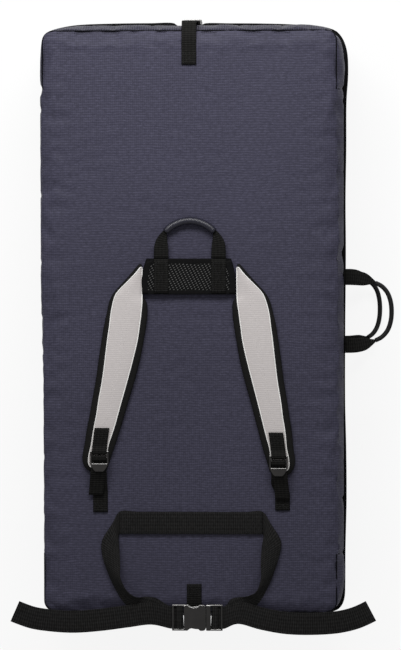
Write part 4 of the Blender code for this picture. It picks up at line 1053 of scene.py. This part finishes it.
# %% Strap rows
STRAP_ROWS = (
    (264.0, 139.0, 141.6), (272.0, 132.2, 141.6), (281.0, 124.3, 141.6), (289.0, 116.8, 141.6),
    (294.6, 112.4, 141.8), (302.0, 109.1, 146.6), (312.0, 107.0, 147.6), (325.0, 104.1, 146.4),
    (340.0, 101.6, 143.8), (360.0, 98.6, 140.0), (380.0, 95.8, 134.9), (400.0, 92.2, 128.9),
    (415.0, 89.6, 124.6), (430.0, 86.7, 120.0), (445.0, 84.4, 115.2), (457.0, 82.4, 111.0),
    (464.0, 83.4, 108.8), (469.0, 86.6, 106.4), (472.0, 91.0, 102.4),
)
FACE_ROWS = (
    (267.4, 140.4, 141.9), (273.0, 135.8, 142.1), (281.0, 128.2, 142.3), (290.0, 119.2, 142.3),
    (295.0, 115.4, 142.3), (302.0, 113.0, 142.3), (312.0, 110.9, 141.5), (325.0, 109.3, 139.9),
    (340.0, 107.2, 137.7), (360.0, 104.8, 133.0), (380.0, 102.2, 127.6), (400.0, 98.6, 122.0),
    (415.0, 96.4, 117.8), (425.0, 94.4, 115.1), (435.0, 92.7, 111.8), (445.0, 91.2, 108.4),
    (455.0, 88.9, 106.6), (462.0, 88.3, 104.4), (466.5, 90.2, 100.8),
)
RIGHT_SWAY = (
    (264.0, 0.0), (296.0, 0.1), (316.0, 1.5), (390.0, 1.6), (424.0, 1.2), (446.0, 0.1), (472.0, -0.3),
)
MIRROR_PX, START_PY, END_PY = 378.9, 264.0, 472.0
THICK, EDGE_THICK = 0.011, 0.0065


def between(rows, py):
    """A table's values at a height in the photograph."""
    for (y0, *above), (y1, *below) in zip(rows, rows[1:]):
        if y0 <= py <= y1:
            t = (py - y0) / (y1 - y0)
            return [a + (b - a) * t for a, b in zip(above, below)]
    return rows[-1][1:]


def strap_spot(side, px, py, z):
    """A place on a strap: the right one mirrors the left, sways out and hangs a little lower."""
    if side == "left":
        return seen(px, py, z)
    share = max(0.0, (py - 300.0) / 172.0)
    sway = between(RIGHT_SWAY, py)[0]
    return seen(MIRROR_PX + sway - px - 1.4 * share, py + 4.0 * share, z)


def strap_height(py, px):
    """The strap's height over the pad: crowned, thinner towards its rim and both ends."""
    outer, inner = between(STRAP_ROWS, py)
    across = clamp((px - (outer + inner) / 2) / ((inner - outer) / 2), -1.0, 1.0)
    full = 0.60 + 0.40 * ease(min(py - START_PY, END_PY - py), 16.0)
    edge = EDGE_THICK * full
    high = edge + (THICK * full - edge) * (1 - across * across)
    return high * (0.72 + 0.28 * clamp((1 - abs(across)) / 0.06) ** 0.5)


# %% Strap cores
ACROSS = (-1.0, -0.985, -0.94, -0.87, -0.80, -0.6, -0.4, -0.2, 0.0)
ACROSS += tuple(-share for share in ACROSS[-2::-1])
base = FACE_Z + GAP


def strap_core(side):
    """The foam and its border: a crowned section on a flat underside."""
    rows = []
    for py, outer, inner in STRAP_ROWS:
        middle, half = (outer + inner) / 2, (inner - outer) / 2
        places = [middle + half * across for across in ACROSS]
        ring = [strap_spot(side, px, py, base + strap_height(py, px)) for px in places]
        under = [middle + half * across for across in (1.0, 0.5, 0.0, -0.5, -1.0)]
        rows.append(ring + [strap_spot(side, px, py, base) for px in under])
    fine = smooth_rows(rows, 0.006)
    return loft("shoulder_strap_core_" + side, fine, [[p.xy for p in ring] for ring in fine], border_black)


# %% Strap faces
PROUD, FACE_CLOTH, EDGE_CORD = 0.0006, 0.0011, 0.0010


def strap_face(side):
    """The light cloth on the crown, and the line of the edge turned in round it."""
    rows, rims = [], ([], [])
    for py, outer, inner in FACE_ROWS:
        strip = []
        for n in range(13):
            across = n / 12
            px = outer + (inner - outer) * across
            rim = min(across, 1 - across) * (inner - outer)
            high = base + strap_height(py, px) + PROUD + PROUD * clamp(rim / 1.2) ** 0.5
            strip.append(strap_spot(side, px, py, high))
        rows.append(strip)
        for line, a, b in ((rims[0], strip[0], strip[1]), (rims[1], strip[-1], strip[-2])):
            line.append(a.lerp(b, 0.15) + Vector((0, 0, 0.0005)))
    fine = smooth_rows(rows, 0.005)
    rings = [ring + [p - Vector((0, 0, FACE_CLOTH)) for p in ring[::-1]] for ring in fine]
    uvs = [[p.xy for p in ring] for ring in rings]
    edge = rims[0] + rims[1][::-1]
    edge = smooth_line(edge + edge[:1], 0.005)[:-1]
    return loft("strap_face_fabric_" + side, rings, uvs, strap_light), edge


for side in ("left", "right"):
    core = dress(strap_core(side), "shoulder_strap_" + side, fill=0.7)
    node = "strap_face_" + side
    face, line = strap_face(side)
    dress(face, node)
    edge = tube("strap_turned_edge_" + side, line, EDGE_CORD, strap_edge, sides=6, closed=True)
    trim(edge, BODY_OF[node], SLOT_OF[node])
    print("strap", side, "faces:", len(core.data.polygons) + len(face.data.polygons))

# %% [markdown]
# ## Ladder locks
#
# Each strap ends in a ladder lock. A loop of webbing holds its upper bar. The adjuster webbing comes
# up from its sewn anchor, passes under the frame, over the toothed bar and back out as the tail.
# Locks and buckles are moulded. Their solids have sharp edges, so each skin is laid again in cells
# of under a millimetre by a voxel remesh and then smoothed, which rounds every edge as a mould does.
# Faces that look up and towards the top end get a near-white painted highlight, and the other sloping faces a
# slightly lighter painted sheen.

# %% The path through a frame
FRAME, INNER_SLOT, LOCK_BAR, OUTER_SLOT, END_BAR, LIP = 0.003, 0.0063, 0.004, 0.007, 0.003, 0.0136
def thread_line():
    """The webbing's line through a frame: distance from its inner end, and height."""
    half, t = WEB / 2, WEB
    load = -FRAME / 2 - GAP - half
    over = FRAME / 2 + GAP * 2 + half
    tail = load + LAYER
    near, far = INNER_SLOT, INNER_SLOT + LOCK_BAR
    up = near - GAP * 3 - half
    return [
        (near + t * 0.6, load), (near - t * 0.45, load + t * 0.1), (up - t * 0.2, load + t * 0.65),
        (up - t * 0.25, over - t * 0.9), (up + t * 0.1, over - t * 0.25), (near + t * 0.1, over),
        (far - t * 0.4, over), (far + t * 0.6, over - t * 0.25), (far + t * 1.2, over - t),
        (far + t * 1.7, tail + t * 0.5), (far + t * 2.5, tail), (far + OUTER_SLOT, tail),
    ], load, tail


# %% Moulded pieces from the solids
def from_solid(node, material, cell, rounds, shape=None):
    """A finished piece from a solid: its skin is laid again in fine cells, which rounds its edges."""
    bm = bmesh.new()
    bm.from_mesh(frame["nodes"][node].data)
    bmesh.ops.remove_doubles(bm, verts=bm.verts[:], dist=0.000005)
    if shape:
        shape(bm)
    ob = finish_mesh(node + "_moulding", bm, material)
    skin = ob.modifiers.new("fine_cells", "REMESH")
    skin.mode, skin.voxel_size, skin.use_smooth_shade = "VOXEL", cell, True
    ob.modifiers.new("soft_edges", "SMOOTH").iterations = rounds
    bpy.context.view_layer.update()
    made = bpy.data.meshes.new_from_object(ob.evaluated_get(bpy.context.evaluated_depsgraph_get()))
    ob.modifiers.clear()
    ob.data = made
    # Painted light chosen by facing: sloping faces that look up and towards the soft box take the near-white
    # painted highlight, and the other sloping faces a slightly lighter painted sheen.
    if material == buckle_black:
        made.materials.append(buckle_painted_highlight)
        made.materials.append(buckle_painted_sheen)
        for face in made.polygons:
            if 0.2 < face.normal.z < 0.95:
                face.material_index = 1 if face.normal.y > 0.3 else 2
    print(ob.name, "faces:", len(made.polygons))
    return dress(ob, node)
def round_lip(middle_x, start_y, end_y):
    """Shapes a lock's flat lip into a rounded tongue, narrower towards its end."""
    def shape(bm):
        for n in range(7):
            y = start_y + (end_y - start_y) * n / 7
            everything = bm.verts[:] + bm.edges[:] + bm.faces[:]
            bmesh.ops.bisect_plane(
                bm, geom=everything, plane_co=(0, y, 0), plane_no=(0, 1, 0), dist=0.00001
            )
        for vert in bm.verts:
            share = clamp((start_y - vert.co.y) / (start_y - end_y))
            if share > 0:
                keep = 0.86 - 0.40 * share ** 1.8 if share < 0.999 else 0.40
                vert.co.x = middle_x + (vert.co.x - middle_x) * min(1.0, keep + 0.14 * (1 - share) ** 3)
    return shape


# %% Where the locks sit
# For each side, in pixels: the lock's middle, how much lower it hangs, and the anchor's low end.
LOCKS = {"left": (99.6, 0.0, 99.95, 511.9), "right": (278.6, 4.3, 282.3, 509.9)}
BAR_PY, LOOP_PY, TAIL_PY = 450.5, 427.0, 494.4
BAR, LEAN_FROM = 0.0032, 0.006
LOOP_LEAN, TAIL_LEAN = {"left": 0.13, "right": -0.13}, {"left": -0.10, "right": 0.10}
STRAP_TOP = FACE_Z + GAP + THICK + GAP * 1.3 + 0.0008
UNDER_FRAME = FRAME / 2 + WEB + GAP
thread, load_z, tail_z = thread_line()
frame_z = STRAP_TOP + GAP * 2 + UNDER_FRAME
start = BAR / 2
lip_end = start + INNER_SLOT + LOCK_BAR + OUTER_SLOT + LIP


def bar_place(side):
    """The middle of a lock's upper bar."""
    px, drop = LOCKS[side][:2]
    top = spot(px, BAR_PY + drop)
    return top.x, top.y - BAR / 2


def lock_rails(side, rows, lean):
    """The edges of webbing at a lock: rows are distances below the bar's middle, and heights."""
    x, y = bar_place(side)
    sides = ([], [])
    for s, z in rows:
        shift = lean(s) * max(0.0, abs(s) - LEAN_FROM)
        for rail, way in zip(sides, (-1, 1)):
            rail.append(Vector((x + way * WEB_HALF + shift, y - s, frame_z + z)))
    return sides


# %% Webbing at the locks
def tail_web(side):
    """The adjuster's tail: through the lock, out over its lip and down to the pad."""
    end_s = bar_place(side)[1] - spot(0, TAIL_PY + LOCKS[side][1]).y
    hang, fall = end_s - lip_end, frame_z + tail_z - (FACE_Z + GAP + LAYER + WEB)
    rows = [(start + s, z) for s, z in thread]
    rows += [(lip_end, tail_z), (lip_end + hang * 0.4, tail_z - fall * 0.45)]
    rows.append((end_s, tail_z - fall * 0.85))
    sides = lock_rails(side, rows, lambda s: TAIL_LEAN[side] if s > lip_end - 0.01 else 0.0)
    dress(webbing("adjuster_tail_web_" + side, *sides, step=0.004), "adjuster_tail_" + side)


def anchor_web(side):
    """The webbing from its sewn end on the pad to the lock's underside."""
    x, bar_y = bar_place(side)
    anchor = spot(*LOCKS[side][2:])
    rest_z, load = FACE_Z + GAP + WEB / 2, frame_z + load_z
    first = start + INNER_SLOT + WEB * 0.6 + GAP
    line = [Vector((x, bar_y - first, load)), Vector((x, bar_y - lip_end, load))]
    y, fall = line[1].y, line[1].y - anchor.y
    line.append(Vector((x, y - fall * 0.25, rest_z + (load - rest_z) * 0.55)))
    line.append(Vector((anchor.x, y - fall * 0.5, rest_z + WEB / 2)))
    line.append(Vector((anchor.x, y - fall * 0.68, rest_z)))
    line.append(Vector((anchor.x, anchor.y, rest_z)))
    shift = Vector((WEB_HALF, 0, 0))
    sides = [p - shift for p in line], [p + shift for p in line]
    ob = webbing("adjuster_anchor_web_" + side, *sides, step=0.004)
    bend(ob, "adjuster_anchor_" + side,
         (anchor.x, line[-2].y, rest_z), (anchor.x, y, rest_z))


def loop_web(side):
    """The loop that is sewn to the strap and goes round the lock's upper bar."""
    inner = BAR / 2 + 0.0006 + WEB / 2
    length = spot(0, LOOP_PY + LOCKS[side][1]).y - bar_place(side)[1]
    low_layer = -UNDER_FRAME - GAP + WEB / 2
    top_layer = low_layer + LAYER
    turns = [-math.pi / 2 + math.pi * n / 8 for n in range(1, 8)]
    rows = [(-length, low_layer), (-inner * 1.6, low_layer), (-inner * 0.7, -inner * 0.98)]
    rows += [(inner * math.cos(turn), inner * math.sin(turn)) for turn in turns]
    rows += [(0.0, inner), (-inner * 1.2, inner * 0.92), (-inner * 3.0, top_layer + GAP * 2),
             (-inner * 4.0, top_layer), (-length, top_layer)]
    sides = lock_rails(side, rows, lambda s: LOOP_LEAN[side] if s < 0 else 0.0)
    dress(webbing("ladder_lock_loop_web_" + side, *sides, step=0.004), "ladder_lock_loop_" + side)


for side in LOCKS:
    tail_web(side)
    anchor_web(side)
    loop_web(side)
    x, y = bar_place(side)
    lip = round_lip(x, y - start - INNER_SLOT - LOCK_BAR - OUTER_SLOT, y - lip_end)
    from_solid("ladder_lock_" + side, buckle_black, cell=0.00045, rounds=4, shape=lip)

# %% [markdown]
# ## Waist belt
#
# A band of 38 mm webbing is sewn flat across the pad. From under its ends the belt hangs in two
# twisted wings, runs through the buckle and leaves as two long tails. A wing's row gives the two
# edges as the photograph shows them, and how many centimetres each edge stands off the pad. A
# tail's row gives its middle, and its height in steps of 12 mm.

# %% Belt rows
LEFT_WING = (
    (119.0, 511.5, 119.0, 533.7, 0.0, 0.0), (112.0, 523.0, 118.8, 543.5, 0.15, 0.7),
    (101.4, 540.5, 119.6, 554.0, 0.25, 1.1), (101.5, 554.5, 120.2, 565.0, 0.3, 1.5),
    (105.4, 567.5, 120.4, 576.0, 0.35, 2.0), (112.8, 585.0, 126.9, 589.5, 0.4, 2.3),
    (123.0, 602.5, 137.0, 596.5, 0.45, 1.6), (134.0, 611.5, 144.0, 596.5, 0.48, 0.54),
    (148.0, 617.5, 155.0, 597.5, 0.51, 0.53),
)
RIGHT_WING = (
    (262.8, 511.5, 262.8, 533.7, 0.0, 0.0), (270.5, 523.0, 262.0, 543.5, 0.15, 0.7),
    (280.9, 540.5, 261.0, 554.0, 0.25, 1.1), (279.4, 554.0, 260.6, 565.5, 0.3, 1.5),
    (275.4, 567.0, 260.9, 577.0, 0.35, 2.0), (268.0, 586.0, 256.0, 590.5, 0.4, 2.4),
    (259.0, 602.0, 246.0, 595.5, 0.45, 1.3), (249.0, 611.5, 240.0, 596.5, 0.48, 0.52),
    (237.0, 618.0, 231.0, 598.5, 0.51, 0.53),
)
LEFT_TAIL = (
    (150.0, 613.4, 0.03), (126.3, 616.2, 0.12), (98.2, 620.0, 0.05), (72.0, 622.0, -0.15),
    (49.0, 620.8, -0.30), (32.0, 618.2, -0.25), (19.0, 613.6, -0.05), (14.0, 611.4, 0.10),
)
RIGHT_TAIL = (
    (240.0, 612.6, 0.03), (262.0, 618.0, 0.12), (286.0, 622.3, 0.0), (313.0, 623.2, -0.20),
    (338.0, 621.4, -0.32), (354.0, 617.5, -0.2), (364.0, 613.2, -0.05), (370.5, 609.8, 0.10),
)
SOCKET_HALF, PLUG_BLOCK = 0.0374 / 2, 0.0078


def in_buckle(place, rows, width, sign, k, pulls=(0.0, 0.0)):
    """Rails of webbing threaded in a buckle: rows are distances along its frame and heights.

    Where the webbing rises through the slot, pulls draw its two edges towards the buckle's body.
    """
    inner_end = SOCKET_HALF * k if sign < 0 else SOCKET_HALF * k + GAP + PLUG_BLOCK * k
    sides = ([], [])
    for along, height in rows:
        for rail, way, pull in zip(sides, (-1, 1), pulls):
            near = along - (pull if along < INNER_SLOT - 0.0005 else 0.0)
            rail.append(place @ Vector((sign * (inner_end + near), way * width / 2, height)))
    return sides


def joined(*parts):
    """One pair of rails from several pairs in a row."""
    return [sum((part[n] for part in parts), []) for n in (0, 1)]


# %% Belt webbing
BAND_PX, BAND_PY = {"left": 119.7, "right": 262.1}, 522.6
BELT_Z, BELT_PULLS, LIFT_STEP, TAIL_STEP = FACE_Z + 0.0088, (0.0034, 0.0014), 0.010, 0.012
band_left, band_right = [spot(px, BAND_PY) for px in BAND_PX.values()]
low_z = FACE_Z + GAP + WEB / 2
ys = (band_left.y - BELT / 2, band_left.y + BELT / 2)
xs = [band_left.x + (band_right.x - band_left.x) * n / 12 for n in range(13)]
sides = [[Vector((x, y, low_z + LAYER)) for x in xs] for y in ys[::-1]]
dress(webbing("waist_belt_sewn_band", *sides, belt_black), "waist_belt_band")
belt_place = Matrix.Translation(spot(194.7, 617.2, BELT_Z))
frame_end = INNER_SLOT + LOCK_BAR + OUTER_SLOT + END_BAR
over_rows = thread[1:] + [(frame_end, tail_z), (frame_end + END_BAR, tail_z)]
for side, sign, wing_rows, tail_rows in (
    ("left", -1, LEFT_WING, LEFT_TAIL),
    ("right", 1, RIGHT_WING, RIGHT_TAIL),
):
    x = spot(BAND_PX[side] - 16.0 * sign, 0).x
    wing = ([Vector((x, ys[1], low_z))], [Vector((x, ys[0], low_z))])
    for outer_x, outer_y, inner_x, inner_y, outer_lift, inner_lift in wing_rows:
        wing[0].append(spot(outer_x, outer_y, low_z + LIFT_STEP * outer_lift))
        wing[1].append(spot(inner_x, inner_y, low_z + LIFT_STEP * inner_lift))
    wing[0][1].y, wing[1][1].y = ys[1], ys[0]
    inmost = thread[0][0] + (GAP if side == "right" else 0.0)
    load_rows = [(frame_end + END_BAR, load_z), (inmost, load_z)]
    load = in_buckle(belt_place, load_rows, BELT, sign, 1)
    over = in_buckle(belt_place, over_rows, BELT, sign, 1, BELT_PULLS)
    middles = [spot(px, py, BELT_Z + tail_z + TAIL_STEP * rise) for px, py, rise in tail_rows]
    end = line_rails(middles, [BELT] * len(middles))[::sign]
    if side == "left":
        web = joined(wing, load, over, end)
        dress(webbing("waist_belt_left_web", *web, belt_black), "waist_belt_left")
        continue
    ob = webbing("waist_belt_right_wing_web", *joined(wing, load), belt_black)
    start_at, end_at = spot(268, 590, 0.2), spot(245, 606, 0.2)
    bend(ob, "waist_belt_right_wing", start_at, end_at)
    begin = in_buckle(belt_place, [thread[0]], BELT, sign, 1)
    ob = webbing("waist_belt_right_tail_web", *joined(begin, over, end), belt_black)
    dress(ob, "waist_belt_right_tail")
for name in ("belt_buckle_socket", "belt_buckle_plug", "belt_buckle_arms"):
    from_solid(name, buckle_black, cell=0.0006, rounds=7)

# %% [markdown]
# ## End closures
#
# At each end a strap is sewn to the carry face, folds over the edge and buckles to an anchor that
# comes up from the front panel. Only the sewn ends show in the photograph.

# %% Closures
BUCKLE_SCALE, BUCKLE_THICK, BUCKLE_Z = STRAP_WEB / BELT, 0.011, 0.047
WALL_OUT, ANCHOR_Z, STRAP_TAIL, BEND_FROM, BEND_TO = 0.0135, 0.006, 0.045, 0.178, 0.092
stand = HALF_L + WALL_OUT + GAP * 2 + max(BUCKLE_THICK / 2, WEB / 2 - load_z)
corner, edge = FACE_Z - EDGE_FALL, HALF_L + WEB
for way, (end, px, sewn_py) in CLOSURES.items():
    sewn = spot(px, sewn_py)
    turn = Matrix(((0, way, 0, 0), (0, 0, way, 0), (1, 0, 0, 0), (0, 0, 0, 1)))
    place = Matrix.Translation((sewn.x, way * stand, BUCKLE_Z)) @ turn
    strap_y = way * (stand + load_z)
    over_edge = rails([(sewn.x, y, z) for y, z in (
        (sewn.y, low_z), (way * (HALF_L - 0.030), low_z), (way * (HALF_L - 0.010), low_z - 0.0005),
        (way * (edge + 0.0015), corner + 0.003), (strap_y - way * 0.0015, corner - 0.0045),
        (strap_y, corner - 0.015),
    )], WEB_HALF)
    rows = thread + [(frame_end, tail_z), (frame_end + STRAP_TAIL, tail_z)]
    web = joined(over_edge, in_buckle(place, rows, STRAP_WEB, 1, BUCKLE_SCALE)[::way])
    ob = webbing(end + "_closure_strap_web", *web, step=0.005)
    bend(ob, end + "_closure_strap",
         (sewn.x, strap_y, BEND_FROM), (sewn.x, strap_y, BEND_TO))
    up_wall = rails([(sewn.x, y, z) for y, z in (
        (way * edge, ANCHOR_Z + WEB), ((way * edge + strap_y) / 2, ANCHOR_Z), (strap_y, ANCHOR_Z + WEB),
    )], WEB_HALF)
    rows = thread + [(frame_end, tail_z)]
    web = joined(up_wall, in_buckle(place, rows, STRAP_WEB, -1, BUCKLE_SCALE)[::way])
    dress(webbing(end + "_closure_anchor_web", *web, step=0.005), end + "_closure_anchor")
    for name in ("socket", "plug", "arms"):
        from_solid(end + "_closure_" + name, buckle_black, cell=0.00045, rounds=3)

# %% [markdown]
# ## Stitches and zip teeth
#
# A stitch row repeats one short thread along a path, and a zip repeats one tooth. Geometry Nodes do
# both with the same tree: a path is cut into equal lengths and a small rod is set at each point,
# turned along the path or across it.

# %% Row tree
def row_tree(name):
    """A tree that sets a rod at equal steps along its input's edges."""
    tree = bpy.data.node_groups.new(name, "GeometryNodeTree")
    face = tree.interface
    face.new_socket("Geometry", in_out="INPUT", socket_type="NodeSocketGeometry")
    for label, value in (("Pitch", 0.004), ("Rod length", 0.003), ("Rod radius", 0.0003), ("Across", 0.0)):
        face.new_socket(label, in_out="INPUT", socket_type="NodeSocketFloat").default_value = value
    face.new_socket("Material", in_out="INPUT", socket_type="NodeSocketMaterial")
    face.new_socket("Geometry", in_out="OUTPUT", socket_type="NodeSocketGeometry")
    given = tree.nodes.new("NodeGroupInput").outputs
    wanted = tree.nodes.new("NodeGroupOutput").inputs
    curve = put(tree, "GeometryNodeMeshToCurve", {"Mesh": given["Geometry"]}).outputs[0]
    cut = {"Curve": curve, "Length": given["Pitch"]}
    steps = put(tree, "GeometryNodeCurveToPoints", cut, mode="LENGTH").outputs
    sizes = {"Vertices": 6, "Radius": given["Rod radius"], "Depth": given["Rod length"]}
    rod = put(tree, "GeometryNodeMeshCylinder", sizes).outputs["Mesh"]
    quarter = sums(tree, "MULTIPLY", given["Across"], math.pi / 2)
    tip = put(tree, "ShaderNodeCombineXYZ", {"X": quarter}).outputs[0]
    turned = put(tree, "GeometryNodeTransform", {"Geometry": rod, "Rotation": tip}).outputs[0]
    places = {"Points": steps["Points"], "Instance": turned, "Rotation": steps["Rotation"]}
    row = put(tree, "GeometryNodeInstanceOnPoints", places).outputs[0]
    real = put(tree, "GeometryNodeRealizeInstances", {"Geometry": row}).outputs[0]
    paint = put(tree, "GeometryNodeSetMaterial", {"Geometry": real, "Material": given["Material"]}).outputs[0]
    tree.links.new(paint, wanted[0])
    return tree


rods = row_tree("rod_row")


# %% Rows of rods
def rod_rows(name, paths, body, slot, material, pitch, length, radius, across=0.0):
    """One plain mesh of rods along all these paths, riding on one body."""
    bm = bmesh.new()
    for path in paths:
        verts = [bm.verts.new(p) for p in path]
        for a, b in zip(verts, verts[1:]):
            bm.edges.new((a, b))
    mesh = bpy.data.meshes.new(name + "_path")
    bm.to_mesh(mesh)
    bm.free()
    guide = bpy.data.objects.new(name + "_path", mesh)
    scene.collection.objects.link(guide)
    modifier = guide.modifiers.new("rows", "NODES")
    modifier.node_group = rods
    values = {"Pitch": pitch, "Rod length": length, "Rod radius": radius}
    values.update({"Across": across, "Material": material})
    for item in rods.interface.items_tree:
        if item.in_out == "INPUT" and item.name in values:
            modifier[item.identifier] = values[item.name]
    bpy.context.view_layer.update()
    made = bpy.data.meshes.new_from_object(guide.evaluated_get(bpy.context.evaluated_depsgraph_get()))
    bpy.data.objects.remove(guide)
    for polygon in made.polygons:
        polygon.use_smooth = True
    ob = bpy.data.objects.new(name, made)
    scene.collection.objects.link(ob)
    print(name, "faces:", len(made.polygons))
    return trim(ob, body, slot)


# %% Stitches on the back panel
SEWN_IN = 0.003


def box_stitch(x0, y0, x1, y1, z):
    """A sewn box with its cross, on a level piece of webbing."""
    x0, x1 = min(x0, x1) + SEWN_IN, max(x0, x1) - SEWN_IN
    y0, y1 = min(y0, y1) + SEWN_IN, max(y0, y1) - SEWN_IN
    corners = [Vector((x0, y0, z)), Vector((x1, y0, z)), Vector((x1, y1, z)), Vector((x0, y1, z))]
    return [corners + corners[:1], [corners[0], corners[2]], [corners[1], corners[3]]]


def web_stitch(x, y0, y1, z):
    """A sewn box across the narrow webbing."""
    return box_stitch(x - WEB_HALF, y0, x + WEB_HALF, y1, z)


on_back = []
for px in TAB_PX.values():
    on_back += web_stitch(spot(px, 0).x, yoke_low.y + 0.003, yoke_high.y - 0.004, tab_z + WEB / 2)
band_top = low_z + LAYER + WEB / 2
BOX_LONG, LINES_FROM = 0.030, 0.032
for px, way in zip(BAND_PX.values(), (1, -1)):
    x = spot(px, 0).x
    on_back += box_stitch(x, ys[0], x + way * BOX_LONG, ys[1], band_top)
for y in (ys[1] - SEWN_IN, ys[0] + SEWN_IN):
    a, b = [Vector((x, y, band_top)) for x in (band_left.x + LINES_FROM, band_right.x - LINES_FROM)]
    on_back.append([a.lerp(b, n / 30) for n in range(31)])
CLOSURE_SEWN, ANCHOR_SEWN = 0.022, 0.018
sewn_ends = [(px, py, way * CLOSURE_SEWN) for way, (_, px, py) in CLOSURES.items()]
sewn_ends += [(px, py, ANCHOR_SEWN) for _, _, px, py in LOCKS.values()]
for px, py, reach in sewn_ends:
    p = spot(px, py)
    on_back += web_stitch(p.x, p.y, p.y + reach, FACE_Z + GAP + WEB)
rod_rows("black_stitches_back", on_back, "back_panel", "webbing", thread_black,
         pitch=0.0032, length=0.0026, radius=0.00028)

# %% Stitches on straps
for side, (lock_px, drop, _, _) in LOCKS.items():
    rows = []
    for column, shift in ((1, -1.5), (2, 1.5)):
        path = []
        for row in FACE_ROWS[6:-1]:
            py, px = row[0], row[column] + shift
            path.append(strap_spot(side, px, py, base + strap_height(py, px)))
        rows.append(smooth_line(path, 0.01))
    top = spot(lock_px, LOOP_PY + drop)
    sewn_box = web_stitch(top.x, top.y, top.y - CLOSURE_SEWN, STRAP_TOP + GAP * 2 + WEB * 2)
    bar_y = bar_place(side)[1]
    for p in {id(p): p for path in sewn_box for p in path}.values():
        p.x += LOOP_LEAN[side] * max(0.0, p.y - bar_y - LEAN_FROM)
    rows += sewn_box
    rod_rows("strap_stitches_" + side, rows, "strap_%s_body" % side, "webbing", thread_black,
             pitch=0.0034, length=0.0027, radius=0.00028)

# %% Cover seams
for prefix, way in PANELS.items():
    lift = Vector((0, 0, way * 0.0001))
    lines = [[p + lift for p in rim_line(SEWN_IN, way, end)] for end in (1, -1)]
    rod_rows(prefix + "_seam_stitches", lines, prefix + "_panel", "cover", thread_slate,
             pitch=0.0036, length=0.0028, radius=0.0003)

# %% [markdown]
# ## Zips
#
# A zip on the hinge side of each panel lets the foam out. Its teeth are the same rods, laid across
# the path.

# %% Zips
ZIP_X, ZIP_HALF, TAPE_HALF, ZIP_STEPS = -0.2526, 0.225, 0.003, 10
zip_ys = [-ZIP_HALF + 2 * ZIP_HALF * n / ZIP_STEPS for n in range(ZIP_STEPS + 1)]
for prefix, z in (("front", 0.050), ("back", 0.150)):
    sides = rails([(ZIP_X, y, z) for y in zip_ys], TAPE_HALF, axis=2)
    dress(webbing(prefix + "_zip_tape", *sides, binding_black, thick=0.0008, step=0.02), prefix + "_zip")
    path = [Vector((ZIP_X - 0.0003, y, z)) for y in zip_ys]
    rod_rows(prefix + "_zip_teeth", [path], prefix + "_panel", "zip_tape", coil_black,
             pitch=0.0014, length=0.0032, radius=0.00045, across=1.0)
    from_solid(prefix + "_zip_slider", slider_metal, cell=0.0003, rounds=2)
# %% [markdown]
# ## Finish
#
# The two boxes are kept for comparison: fabric may stand a little proud of the solids.

# %% Sizes and finish
box = [list(corner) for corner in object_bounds()]
for label, (low, high) in (("solid", cad_box), ("dressed", box)):
    print(label, "mm:", [round(v * 1000, 1) for v in low], [round(v * 1000, 1) for v in high])
